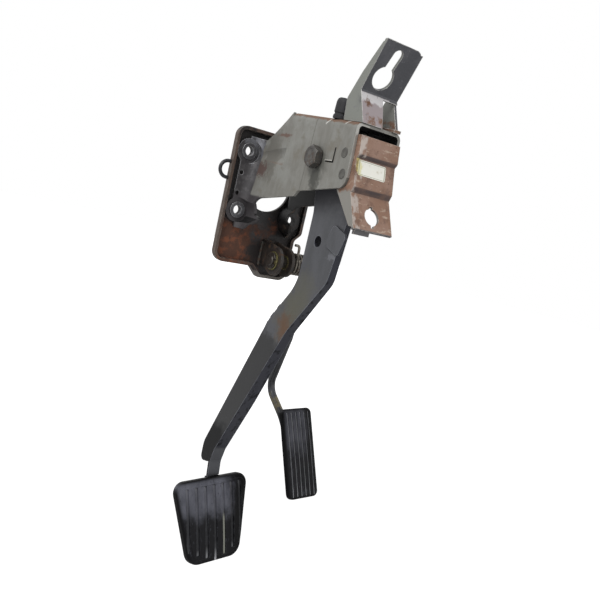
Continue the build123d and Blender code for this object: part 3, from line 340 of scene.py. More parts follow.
def stain(tree, centre, radius, size, stretch=(1.0, 1.0, 1.0), core=0.45):
    """Mask of one ragged stain about a place on the piece; a smaller core fades more softly."""
    ragged = add(tree, "ShaderNodeTexNoise", {
        "Vector": object_place(tree), "Scale": 1 / size, "Detail": 5.0, "Roughness": 0.65})
    offset = add(tree, "ShaderNodeVectorMath", {0: object_place(tree), 1: centre}, operation="SUBTRACT")
    shaped = add(tree, "ShaderNodeVectorMath", {0: offset.outputs[0], 1: stretch}, operation="MULTIPLY")
    away = add(tree, "ShaderNodeVectorMath", {0: shaped.outputs[0]}, operation="LENGTH")
    reach = add(tree, "ShaderNodeMapRange", {
        "Value": ragged.outputs["Fac"], "From Min": 0.3, "From Max": 0.7,
        "To Min": 0.35 * radius, "To Max": 1.5 * radius})
    share = add(tree, "ShaderNodeMath", {0: away.outputs["Value"], 1: reach.outputs[0]}, operation="DIVIDE")
    fade = add(tree, "ShaderNodeMapRange", {
        "Value": share.outputs[0], "From Min": 1.0, "From Max": core}, interpolation_type="SMOOTHSTEP")
    return fade.outputs["Result"]


def band(tree, axis, start, full, size, ragged=0.35, along=None):
    """Mask that grows along one axis, of the object or of a given place, with a ragged front."""
    axes = add(tree, "ShaderNodeSeparateXYZ", {"Vector": along or object_place(tree)})
    noise = add(tree, "ShaderNodeTexNoise", {
        "Vector": object_place(tree), "Scale": 1 / size, "Detail": 6.0, "Roughness": 0.65})
    grown = add(tree, "ShaderNodeMapRange", {
        "Value": axes.outputs[axis], "From Min": start, "From Max": full}, clamp=False)
    ruffled = add(tree, "ShaderNodeMapRange", {
        "Value": noise.outputs["Fac"], "From Min": 0.3, "From Max": 0.7, "To Min": -ragged, "To Max": ragged})
    total = add(tree, "ShaderNodeMath", {0: grown.outputs[0], 1: ruffled.outputs[0]})
    fade = add(tree, "ShaderNodeMapRange", {
        "Value": total.outputs[0], "From Min": 0.3, "From Max": 0.7}, interpolation_type="SMOOTHSTEP")
    return fade.outputs["Result"]


def worn_edges(tree, reach, size, gaps=0.5):
    """Mask of edges and corners, broken up as handling breaks a coat; fewer gaps leave longer runs."""
    rounded = add(tree, "ShaderNodeBevel", {"Radius": reach}, samples=6)
    flat = add(tree, "ShaderNodeNewGeometry")
    turned = add(tree, "ShaderNodeVectorMath", {
        0: rounded.outputs[0], 1: flat.outputs["Normal"]}, operation="DOT_PRODUCT")
    edge = add(tree, "ShaderNodeMapRange", {
        "Value": turned.outputs["Value"], "From Min": 0.975, "From Max": 0.85},
        interpolation_type="SMOOTHSTEP")
    return both(tree, edge.outputs["Result"], patches(tree, size, gaps, 0.1))


def dirt_and_shade_in_corners(tree, reach):
    """Mask of inner corners from ambient occlusion, for the dirt and rust that gather there and for painted
    shade.
    """
    open_share = add(tree, "ShaderNodeAmbientOcclusion", {"Distance": reach}, samples=6, only_local=False)
    dark = add(tree, "ShaderNodeMapRange", {
        "Value": open_share.outputs["AO"], "From Min": 0.75, "From Max": 0.25},
        interpolation_type="SMOOTHSTEP")
    return dark.outputs["Result"]


def facing(tree, axis, start, full):
    """Mask of faces by how far they turn to one axis."""
    flat = add(tree, "ShaderNodeNewGeometry")
    axes = add(tree, "ShaderNodeSeparateXYZ", {"Vector": flat.outputs["Normal"]})
    turned = add(tree, "ShaderNodeMapRange", {
        "Value": axes.outputs[axis], "From Min": start, "From Max": full}, interpolation_type="SMOOTHSTEP")
    return turned.outputs["Result"]


def inner_faces(tree, middle):
    """Mask of faces that look towards the middle line of a channel along X."""
    offset = add(tree, "ShaderNodeVectorMath", {0: object_place(tree), 1: middle}, operation="SUBTRACT")
    across = add(tree, "ShaderNodeVectorMath", {
        0: offset.outputs[0], 1: (0.0, 1.0, 1.0)}, operation="MULTIPLY")
    flat = add(tree, "ShaderNodeNewGeometry")
    outwards = add(tree, "ShaderNodeVectorMath", {
        0: across.outputs[0], 1: flat.outputs["Normal"]}, operation="DOT_PRODUCT")
    inside_shade = add(tree, "ShaderNodeMapRange", {
        "Value": outwards.outputs["Value"], "From Min": 0.0, "From Max": -2 * MM})
    return inside_shade.outputs["Result"]


def near_line(tree, start, end, half_width, size):
    """Mask of a thin ragged line between two places in side view."""
    first, last = Vector(start), Vector(end)
    along = (last - first).normalized()
    side = Vector((-along.z, 0.0, along.x))
    offset = add(tree, "ShaderNodeVectorMath", {0: object_place(tree), 1: first}, operation="SUBTRACT")
    aside = add(tree, "ShaderNodeVectorMath", {0: offset.outputs[0], 1: side}, operation="DOT_PRODUCT")
    ahead = add(tree, "ShaderNodeVectorMath", {0: offset.outputs[0], 1: along}, operation="DOT_PRODUCT")
    away = add(tree, "ShaderNodeMath", {0: aside.outputs["Value"]}, operation="ABSOLUTE")
    ragged = patches(tree, size, 0.5, 0.3)
    reach = add(tree, "ShaderNodeMapRange", {
        "Value": ragged, "To Min": 0.4 * half_width, "To Max": 1.4 * half_width})
    thin = add(tree, "ShaderNodeMath", {0: away.outputs[0], 1: reach.outputs[0]}, operation="LESS_THAN")
    begun = add(tree, "ShaderNodeMath", {0: ahead.outputs["Value"], 1: 0.0}, operation="GREATER_THAN")
    ended = add(tree, "ShaderNodeMath", {
        0: ahead.outputs["Value"], 1: (last - first).length}, operation="LESS_THAN")
    return both(tree, thin.outputs[0], both(tree, begun.outputs[0], ended.outputs[0]))


def both(tree, first, second):
    """Where two masks overlap."""
    return add(tree, "ShaderNodeMath", {0: first, 1: second}, operation="MULTIPLY").outputs[0]


def new_finish(name):
    """An empty material and its tree."""
    material = bpy.data.materials.new(name)
    material.use_nodes = True
    material.node_tree.nodes.clear()
    return material, material.node_tree


def close_finish(material, coats, grain=(), rounding=0.5 * MM, constants=None):
    """Lay the coats over each other and end in one shader; grain pairs a height with its depth in metres."""
    tree = material.node_tree
    base = coats[0]
    colour, roughness, metallic = linear(base.colour), base.roughness, base.metallic
    for coat in coats[1:]:
        mixed = add(tree, "ShaderNodeMix", {
            0: coat.mask, 6: colour, 7: linear(coat.colour)}, data_type="RGBA")
        colour = mixed.outputs[2]
        if coat.roughness != roughness:
            step = add(tree, "ShaderNodeMix", {0: coat.mask, 2: roughness, 3: coat.roughness})
            roughness = step.outputs[0]
        if coat.metallic != metallic:
            step = add(tree, "ShaderNodeMix", {0: coat.mask, 2: metallic, 3: coat.metallic})
            metallic = step.outputs[0]
    normal = add(tree, "ShaderNodeBevel", {"Radius": rounding}, samples=6).outputs[0]
    for height, depth in grain:
        raised = add(tree, "ShaderNodeBump", {
            "Height": height, "Distance": depth, "Strength": 1.0, "Normal": normal})
        normal = raised.outputs[0]
    shader = add(tree, "ShaderNodeBsdfPrincipled", {
        "Base Color": colour, "Roughness": roughness, "Metallic": metallic, "Normal": normal,
        **(constants or {})})
    add(tree, "ShaderNodeOutputMaterial", {"Surface": shader.outputs[0]})
    return material


# Finishes

def box_primer():
    """Grey electrocoat primer on pressed steel: flat, streaked, brown at folds, bright at rubbed edges, with
    painted shade inside the channel, in its corners, at the flare, toe, crease and slit, and painted
    highlights on the rear edge, the slit's lip and the foot.
    """
    material, tree = new_finish("electrocoat_primer_on_pressed_steel")
    bolt = node_middle("pivot_bolt")
    wall_y = -22 * MM
    streaks = patches(tree, 9 * MM, 0.5, 0.14, stretch=(1.6, 1.6, 0.3))
    cloud = patches(tree, 34 * MM, 0.52, 0.12, seed=3.0)
    dust = patches(tree, 16 * MM, 0.6, 0.07, seed=7.0)
    feet = band(tree, "X", 15 * MM, 10 * MM, 9 * MM, ragged=0.15)
    worn_feet = both(tree, feet, patches(tree, 7 * MM, 0.54, 0.07, seed=13.0))
    near_side = band(tree, "Y", -8 * MM, -12 * MM, 5 * MM, ragged=0.0)

    def on_wall(start, end, half_width, size):
        return both(tree, near_side, near_line(tree, start, end, half_width, size))

    top_edge = near_line(tree, mm(58, 0, 67), mm(152, 0, 61), 3.4 * MM, 7 * MM)
    top_face = both(tree, facing(tree, "Z", 0.35, 0.75), patches(tree, 13 * MM, 0.4, 0.16, seed=11.0))
    edge_rust = both(tree, top_edge, patches(tree, 10 * MM, 0.42, 0.12, seed=11.0))
    seat_rust = stain(tree, mm(17, -26, 14), 13 * MM, 3.5 * MM, (0.8, 0.3, 1.3))
    smear = stain(tree, mm(50, -22, 46), 12 * MM, 4 * MM, (0.7, 0.5, 4.8))
    # Painted shade where the near wall curves out to its foot.
    hollow_shade = stain(tree, mm(30, -24, 30), 26 * MM, 14 * MM, (1.3, 0.3, 0.8))
    drip = stain(tree, (bolt.x + 3 * MM, wall_y, bolt.z - 16 * MM), 9 * MM, 7 * MM, (1.0, 0.6, 0.6))
    damp = stain(tree, (bolt.x + 2 * MM, wall_y, bolt.z - 6 * MM), 15 * MM, 9 * MM, (0.9, 0.6, 0.9))
    specks = patches(tree, 2.0 * MM, 0.69, 0.03, seed=5.0)
    # Painted shade: a thin dark line along the crease where the wall bends.
    crease_shade = near_line(tree, mm(96, 0, 61), mm(92, 0, 2), 0.35 * MM, 5 * MM)
    scratches = [on_wall(mm(109.5, 0, 57), mm(114, 0, 61), 0.5 * MM, 3 * MM),
                 on_wall(mm(135.5, 0, 58), mm(139, 0, 61), 0.5 * MM, 3 * MM)]
    # Painted shade: a black line for the dark gap of the lanced slit.
    slit_shade = on_wall(mm(131, 0, 27.5), mm(131, 0, 39.5), 0.95 * MM, 20 * MM)
    # Painted highlight: a bright line along the lower lip of the slit.
    slit_lip_highlight = on_wall(mm(119.5, 0, 29.2), mm(129.5, 0, 29.2), 0.4 * MM, 20 * MM)
    # Painted shade low on the front of the near wall, by its toe.
    toe = both(tree, near_side, both(tree, band(tree, "X", 48 * MM, 42 * MM, 6 * MM, ragged=0.1),
                                     band(tree, "Z", -8 * MM, -14 * MM, 6 * MM, ragged=0.1)))
    # Painted highlight: a light line along the rear edge of the near wall.
    rear_edge_highlight = on_wall(mm(152.4, 0, 59), mm(154.4, 0, 18), 0.8 * MM, 12 * MM)
    # Painted shade: the far wall's front foot, in shadow, near black, with brown rust patches on it.
    far_foot_shade = both(tree, band(tree, "X", 54 * MM, 46 * MM, 9 * MM, ragged=0.1),
                    band(tree, "Y", 10 * MM, 16 * MM, 9 * MM, ragged=0.1))
    far_tan = both(tree, far_foot_shade, patches(tree, 8 * MM, 0.56, 0.06, seed=18.0))
    # Painted shade: the inner faces of the channel, nearly black.
    inside_shade = inner_faces(tree, (0.0, 0.0, 20 * MM))
    # Dirt and painted shade in the inner corners.
    grime_and_shade = dirt_and_shade_in_corners(tree, 12 * MM)
    rub = worn_edges(tree, 0.9 * MM, 6 * MM)
    foot_rub = both(tree, feet, worn_edges(tree, 1.5 * MM, 9 * MM, gaps=0.38))
    # Painted sheen: a lighter patch on the foot round its upper hole.
    painted_foot_sheen = both(tree, feet, stain(tree, mm(6, -25, 32), 13 * MM, 4 * MM, (0.4, 1.0, 0.8)))
    return close_finish(material, [
        Coat(None, "83827c", 0.55, 0.0),
        Coat(streaks, "7a7872", 0.6, 0.0),
        Coat(cloud, "8c8c87", 0.5, 0.0),
        Coat(dust, "7a766d", 0.7, 0.0),
        Coat(hollow_shade, "6d6b65", 0.6, 0.0),
        Coat(crease_shade, "5e5c57", 0.65, 0.0),
        Coat(specks, "63594f", 0.75, 0.0),
        Coat(damp, "666660", 0.6, 0.0),
        Coat(drip, "4b4b46", 0.65, 0.0),
        Coat(seat_rust, "5d4c47", 0.8, 0.0),
        Coat(smear, "6d5950", 0.8, 0.0),
        Coat(top_face, "6f5748", 0.85, 0.0),
        Coat(edge_rust, "7d6353", 0.85, 0.0),
        Coat(feet, "434143", 0.5, 0.0),
        Coat(worn_feet, "5b595b", 0.45, 0.2),
        Coat(painted_foot_sheen, "7b7c82", 0.4, 0.2),
        *[Coat(scratch, "d2d1cc", 0.4, 0.3) for scratch in scratches],
        Coat(grime_and_shade, "2c2a27", 0.8, 0.0),
        Coat(rub, "b9b8b2", 0.38, 0.5),
        Coat(foot_rub, "a4a4a8", 0.4, 0.4),
        Coat(rear_edge_highlight, "a5a49f", 0.4, 0.3),
        Coat(slit_shade, "1b1a19", 0.8, 0.0),
        Coat(slit_lip_highlight, "c4c2bb", 0.35, 0.3),
        Coat(toe, "454244", 0.5, 0.0),
        Coat(far_foot_shade, "1a1818", 0.6, 0.0),
        Coat(far_tan, "4a3d34", 0.7, 0.0),
        Coat(inside_shade, "0b0a0c", 0.6, 0.0),
    ], grain=[(fine_grain(tree, 1.6 * MM, 2.0), 0.03 * MM), (edge_rust, 0.08 * MM)])


def plate_primer():
    """Dark primer on a stamped plate: near black, red rust on the lower floor, its rim rubbed to steel."""
    material, tree = new_finish("rusted_dark_primer_on_stamping")
    low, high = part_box("firewall_plate")
    lower = both(tree, band(tree, "Z", low.z + 64 * MM, low.z + 40 * MM, 13 * MM),
                 band(tree, "Y", 22 * MM, -26 * MM, 26 * MM, ragged=0.5))
    rust = both(tree, lower, patches(tree, 24 * MM, 0.36, 0.16, seed=4.0))
    lip = facing(tree, "Z", -0.4, -0.8)
    bright_rust = both(tree, rust, patches(tree, 8 * MM, 0.55, 0.08, seed=9.0))
    film = patches(tree, 26 * MM, 0.5, 0.12, stretch=(1.0, 1.0, 0.5), seed=1.0)
    rim = both(tree, band(tree, "X", high.x - 2.2 * MM, high.x - 0.6 * MM, 6 * MM),
               patches(tree, 16 * MM, 0.5, 0.08, seed=6.0))
    low_rim = both(tree, band(tree, "X", high.x - 3.2 * MM, high.x - 1.6 * MM, 6 * MM, ragged=0.1),
                   band(tree, "Z", low.z + 9 * MM, low.z + 4 * MM, 5 * MM, ragged=0.1))
    pale_side = both(tree, band(tree, "Y", low.y + 2.5 * MM, low.y + 0.5 * MM, 5 * MM, ragged=0.1),
                     patches(tree, 30 * MM, 0.42, 0.1, seed=16.0))
    # Dirt and painted shade in the inner corners.
    grime_and_shade = dirt_and_shade_in_corners(tree, 12 * MM)
    rub = worn_edges(tree, 0.9 * MM, 7 * MM)
    return close_finish(material, [
        Coat(None, "1b1819", 0.5, 0.0),
        Coat(film, "282322", 0.6, 0.0),
        Coat(rust, "573a2d", 0.85, 0.0),
        Coat(bright_rust, "7c4c36", 0.9, 0.0),
        Coat(rim, "5c4a41", 0.6, 0.0),
        Coat(low_rim, "69645f", 0.55, 0.1),
        Coat(pale_side, "564a42", 0.55, 0.1),
        Coat(lip, "57534f", 0.6, 0.0),
        Coat(grime_and_shade, "141112", 0.8, 0.0),
        Coat(rub, "94897f", 0.42, 0.4),
    ], grain=[(fine_grain(tree, 1.8 * MM, 2.0), 0.04 * MM), (rust, 0.1 * MM)])


def grimy_primer():
    """Dark primer under road dirt and oil on a small bracket: black-brown with dull patches."""
    material, tree = new_finish("grimy_dark_primer")
    dirt = patches(tree, 9 * MM, 0.5, 0.1, seed=1.0)
    rust = patches(tree, 5 * MM, 0.6, 0.06, seed=4.0)
    # Dirt and painted shade in the inner corners.
    grime_and_shade = dirt_and_shade_in_corners(tree, 10 * MM)
    rub = worn_edges(tree, 0.8 * MM, 4 * MM)
    return close_finish(material, [
        Coat(None, "1c1817", 0.45, 0.0),
        Coat(dirt, "2c2520", 0.65, 0.0),
        Coat(rust, "4b3728", 0.85, 0.0),
        Coat(grime_and_shade, "121011", 0.8, 0.0),
        Coat(rub, "5c5148", 0.45, 0.3),
    ], grain=[(fine_grain(tree, 1.6 * MM, 2.0), 0.05 * MM)])


def washer_primer():
    """Primed washers and weld bosses: dark satin grey, a bright rubbed rim, dirt and painted shade in the
    corners, and painted shade nearly black on the far side.
    """
    material, tree = new_finish("dark_primer_on_turned_washers")
    cloud = patches(tree, 4 * MM, 0.5, 0.12, seed=1.0)
    # Painted shade: the washers on the far side, nearly black.
    far_side_shade = band(tree, "Y", 2 * MM, 10 * MM, 9 * MM, ragged=0.0)
    rub = worn_edges(tree, 0.9 * MM, 6 * MM, gaps=0.4)
    return close_finish(material, [
        Coat(None, "4b4a4d", 0.4, 0.2),
        Coat(cloud, "5f5f62", 0.42, 0.3),
        # Dirt and painted shade in the corners.
        Coat(dirt_and_shade_in_corners(tree, 3 * MM), "1d1b1c", 0.7, 0.0),
        Coat(rub, "b3b3b5", 0.32, 0.6),
        Coat(far_side_shade, "1e1b1b", 0.6, 0.0),
    ], grain=[(fine_grain(tree, 0.9 * MM, 3.0), 0.02 * MM)])


def greasy_steel():
    """Bare turned steel under old grease: black-brown film, steel showing on the edges."""
    material, tree = new_finish("turned_steel_under_grease")
    grease = patches(tree, 4 * MM, 0.5, 0.12, seed=1.0)
    rub = worn_edges(tree, 0.5 * MM, 3 * MM)
    return close_finish(material, [
        Coat(None, "4a4541", 0.35, 0.5),
        Coat(grease, "211d1a", 0.4, 0.0),
        Coat(rub, "8f8a83", 0.35, 0.7),
    ], grain=[(fine_grain(tree, 0.9 * MM, 3.0), 0.02 * MM)])


def bracket_primer():
    """Red-brown primer gone to rust: matt pinkish brown, painted shade on the ledges, a painted highlight
    along the bend, pale scratches where raised.
    """
    material, tree = new_finish("red_oxide_primer_gone_to_rust")
    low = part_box("rear_bracket")[0]
    film = patches(tree, 18 * MM, 0.5, 0.12, seed=1.0)
    pale = patches(tree, 5 * MM, 0.62, 0.05, stretch=(1.0, 0.6, 1.6), seed=8.0)
    oil = patches(tree, 11 * MM, 0.58, 0.08, seed=12.0)
    # Painted shade on the faces of the ledges that turn down.
    ledge_shade = both(tree, facing(tree, "Z", -0.08, -0.34), facing(tree, "X", 0.2, 0.5))
    # Patches where the painted shade on the ledges is lighter.
    ledge_shade_broken = both(tree, ledge_shade, patches(tree, 7 * MM, 0.5, 0.14, stretch=(1.0, 0.5, 1.0), seed=15.0))
    bend = both(tree, band(tree, "Y", low.y + 9 * MM, low.y + 5 * MM, 6 * MM, ragged=0.3),
                patches(tree, 6 * MM, 0.52, 0.07, stretch=(1.0, 1.0, 0.5), seed=17.0))
    # Painted highlight along the bend of the bracket's near flange.
    bend_highlight = both(tree, facing(tree, "X", 0.2, 0.6), bend)
    flange = both(tree, facing(tree, "Y", -0.5, -0.9),
                  band(tree, "Z", low.z + 34 * MM, low.z + 26 * MM, 8 * MM))
    foot_lip = band(tree, "Z", low.z + 5.5 * MM, low.z + 4 * MM, 5 * MM, ragged=0.05)
    specks = patches(tree, 1.8 * MM, 0.66, 0.04, seed=5.0)
    # Dirt and painted shade in the inner corners.
    grime_and_shade = dirt_and_shade_in_corners(tree, 9 * MM)
    rub = worn_edges(tree, 1.0 * MM, 5 * MM)
    return close_finish(material, [
        Coat(None, "8b6b58", 0.65, 0.0),
        Coat(film, "967868", 0.6, 0.0),
        Coat(oil, "735646", 0.5, 0.0),
        Coat(pale, "b09a88", 0.55, 0.0),
        Coat(specks, "5c4334", 0.85, 0.0),
        Coat(ledge_shade, "4b3f3f", 0.55, 0.0),
        Coat(ledge_shade_broken, "6a5349", 0.6, 0.0),
        Coat(bend_highlight, "b3a79f", 0.45, 0.3),
        Coat(flange, "8b8882", 0.6, 0.0),
        Coat(foot_lip, "545254", 0.55, 0.0),
        Coat(grime_and_shade, "2f2729", 0.8, 0.0),
        Coat(rub, "b9afa6", 0.42, 0.4),
    ], grain=[(fine_grain(tree, 1.2 * MM, 2.0), 0.05 * MM), (specks, 0.06 * MM)])


def hanger_primer():
    """Bluish dark primer on the upper bracket: satin web, flanges lighter on the near side with chalking and
    painted light, rust and steel at the tongue with a painted highlight at its top.
    """
    material, tree = new_finish("satin_primer_on_folded_bracket")
    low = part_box("upper_bracket")[0]
    # Lighter on faces turned to the near side: chalked primer with painted light.
    chalk_and_light = both(tree, facing(tree, "Y", -0.4, -0.8), patches(tree, 22 * MM, 0.36, 0.12, seed=3.0))
    rear_foot = both(tree, facing(tree, "X", 0.3, 0.5),
                     band(tree, "Z", low.z + 25 * MM, low.z + 22 * MM, 5 * MM, ragged=0.1))
    tongue = both(tree, rear_foot, band(tree, "Y", 11 * MM, 9 * MM, 5 * MM, ragged=0.0))
    foot_rust = both(tree, band(tree, "Z", low.z + 13 * MM, low.z + 3 * MM, 6 * MM),
                     both(tree, patches(tree, 8 * MM, 0.48, 0.08, seed=9.0),
                          band(tree, "Y", low.y + 2 * MM, low.y + 4 * MM, 5 * MM, ragged=0.0)))
    blot = both(tree, tongue, stain(tree, mm(143, -12, 76), 5 * MM, 4 * MM))
    # Painted highlight, near white, on the upper part of the tongue.
    tongue_top_highlight = both(tree, tongue, band(tree, "Z", low.z + 13 * MM, low.z + 20 * MM, 6 * MM, ragged=0.3))
    film = patches(tree, 15 * MM, 0.54, 0.1, stretch=(1.0, 1.0, 0.5), seed=6.0)
    scuffs = patches(tree, 4 * MM, 0.66, 0.04, stretch=(0.5, 1.0, 1.5), seed=8.0)
    # Dirt and painted shade in the inner corners.
    grime_and_shade = dirt_and_shade_in_corners(tree, 8 * MM)
    rub = worn_edges(tree, 1.1 * MM, 7 * MM, gaps=0.42)
    return close_finish(material, [
        Coat(None, "45464b", 0.42, 0.0),
        Coat(film, "525257", 0.48, 0.0),
        Coat(chalk_and_light, "82847e", 0.55, 0.0),
        Coat(tongue, "9f9496", 0.5, 0.1),
        Coat(tongue_top_highlight, "cfcccd", 0.42, 0.2),
        Coat(foot_rust, "7d604e", 0.8, 0.0),
        Coat(blot, "6a4a36", 0.8, 0.0),
        Coat(scuffs, "77777a", 0.4, 0.2),
        Coat(grime_and_shade, "232022", 0.75, 0.0),
        Coat(rub, "c4c3bf", 0.35, 0.5),
    ], grain=[(fine_grain(tree, 1.4 * MM, 2.0), 0.03 * MM), (foot_rust, 0.08 * MM)])


def arm_enamel():
    """Dark grey enamel on the stamped arm: satin above with painted shade at its top by the box, a dusty
    graze at the bend, painted shade near black at its foot, worn edges with a painted highlight along the
    fold.
    """
    material, tree = new_finish("satin_grey_enamel_on_stamping")
    low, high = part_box("brake_arm")
    web = facing(tree, "Y", -0.5, -0.8)
    rear = facing(tree, "X", 0.4, 0.7)
    # Painted shade: the top of the arm, by the box, darker.
    top = band(tree, "Z", high.z - 95 * MM, high.z - 20 * MM, 30 * MM, ragged=0.2)
    lower = band(tree, "Z", -112 * MM, -146 * MM, 12 * MM, ragged=0.25)
    # Painted shade: the web low down, where it turns away, near black.
    web_foot_shade = both(tree, web, band(tree, "Z", -222 * MM, -262 * MM, 16 * MM, ragged=0.15))
    graze = both(tree, web, stain(tree, mm(94, -14, -118), 20 * MM, 9 * MM, (1.0, 0.3, 0.8),
                                  core=0.1))
    dust = both(tree, web, stain(tree, mm(103, -14, -98), 36 * MM, 16 * MM, (1.0, 0.3, 0.7),
                                 core=0.05))
    scuff = both(tree, web, stain(tree, mm(139.4, -14, -44.6), 9 * MM, 4 * MM, (0.8, 0.3, 2.4)))
    gouges = both(tree, rear, patches(tree, 6 * MM, 0.57, 0.05, stretch=(1.0, 1.0, 0.6), seed=9.0))
    strap = both(tree, rear, band(tree, "Z", -262 * MM, -270 * MM, 8 * MM, ragged=0.15))
    film = patches(tree, 24 * MM, 0.54, 0.1, stretch=(1.0, 1.0, 0.4), seed=2.0)
    scuffs = patches(tree, 3.4 * MM, 0.71, 0.03, stretch=(1.0, 1.0, 0.7), seed=5.0)
    foot = band(tree, "Z", low.z + 15 * MM, low.z + 4 * MM, 8 * MM, ragged=0.2)
    # Dirt and painted shade in the inner corners.
    grime_and_shade = dirt_and_shade_in_corners(tree, 9 * MM)
    # Worn edges, with a painted highlight along the fold of the rear flange.
    rub = worn_edges(tree, 1.0 * MM, 14 * MM, gaps=0.45)
    return close_finish(material, [
        Coat(None, "5a5b5f", 0.42, 0.0),
        Coat(film, "535457", 0.5, 0.0),
        Coat(top, "46464a", 0.5, 0.0),
        Coat(lower, "3b3b3c", 0.42, 0.0),
        Coat(web_foot_shade, "0f0f11", 0.5, 0.0),
        Coat(dust, "605f56", 0.65, 0.0),
        Coat(graze, "675243", 0.75, 0.0),
        Coat(rear, "35363e", 0.42, 0.0),
        Coat(scuffs, "5f6066", 0.45, 0.2),
        Coat(scuff, "717277", 0.45, 0.2),
        Coat(gouges, "191a1f", 0.6, 0.0),
        Coat(strap, "515256", 0.45, 0.0),
        Coat(foot, "4f423d", 0.6, 0.0),
        Coat(grime_and_shade, "1c1c1d", 0.7, 0.0),
        Coat(rub, "8c8e96", 0.38, 0.4),
    ], grain=[(fine_grain(tree, 2.2 * MM, 3.0), 0.02 * MM), (graze, 0.05 * MM)],
        constants={"Specular IOR Level": 0.2})


def rod_enamel():
    """Black enamel on bent bar: glossy, with brown dust on its upward side and rubbed bends."""
    material, tree = new_finish("gloss_black_enamel_on_bar")
    dust = patches(tree, 12 * MM, 0.55, 0.1, seed=1.0)
    toe = stain(tree, mm(21, 60, -216), 17 * MM, 8 * MM)
    nicks = patches(tree, 2.6 * MM, 0.68, 0.03, seed=6.0)
    return close_finish(material, [
        Coat(None, "26272a", 0.3, 0.0),
        Coat(dust, "34353a", 0.45, 0.0),
        Coat(toe, "6f664c", 0.5, 0.0),
        Coat(nicks, "6f6a62", 0.45, 0.3),
    ], grain=[(fine_grain(tree, 1.6 * MM, 2.0), 0.02 * MM)])


def bolt_zinc():
    """Zinc plating gone dull on forged and turned steel: grey-brown, soft shine, dark with dirt and painted
    shade in the roots.
    """
    material, tree = new_finish("dulled_zinc_plate")
    bloom = patches(tree, 5 * MM, 0.5, 0.1, seed=1.0)
    brown = patches(tree, 3 * MM, 0.58, 0.06, seed=4.0)
    # Dirt and painted shade in the roots of the head and thread.
    grime_and_shade = dirt_and_shade_in_corners(tree, 5 * MM)
    rub = worn_edges(tree, 0.6 * MM, 3 * MM)
    return close_finish(material, [
        Coat(None, "5e5c59", 0.42, 0.6),
        Coat(bloom, "4b4947", 0.55, 0.4),
        Coat(brown, "4f443b", 0.7, 0.1),
        Coat(grime_and_shade, "2a2725", 0.8, 0.0),
        Coat(rub, "bdb9b2", 0.35, 0.8),
    ], grain=[(fine_grain(tree, 0.9 * MM, 3.0), 0.02 * MM)])


def spring_wire():
    """Oil-tempered spring wire: dark brown-grey with an oily shine, and dirt and painted shade between the
    turns.
    """
    material, tree = new_finish("oil_tempered_spring_wire")
    oil = patches(tree, 4 * MM, 0.5, 0.1, seed=1.0)
    rust = patches(tree, 2.2 * MM, 0.62, 0.05, seed=3.0)
    return close_finish(material, [
        Coat(None, "837d74", 0.32, 0.85),
        Coat(oil, "4a453f", 0.42, 0.6),
        Coat(rust, "5c4636", 0.75, 0.1),
        # Dirt and painted shade between the turns.
        Coat(dirt_and_shade_in_corners(tree, 3 * MM), "1a1715", 0.8, 0.0),
    ], grain=[(fine_grain(tree, 0.8 * MM, 2.0), 0.02 * MM)])


def tarnished_brass():
    """Sintered brass bush: dull yellow, brown where it has tarnished, bright at the rubbed rim."""
    material, tree = new_finish("tarnished_sintered_brass")
    tarnish = patches(tree, 4 * MM, 0.5, 0.09, seed=1.0)
    rub = worn_edges(tree, 0.6 * MM, 2 * MM)
    return close_finish(material, [
        Coat(None, "8f8a5c", 0.4, 0.85),
        Coat(tarnish, "544a34", 0.6, 0.4),
        Coat(rub, "c9c08a", 0.3, 0.95),
    ], grain=[(fine_grain(tree, 0.6 * MM, 2.0), 0.02 * MM)])


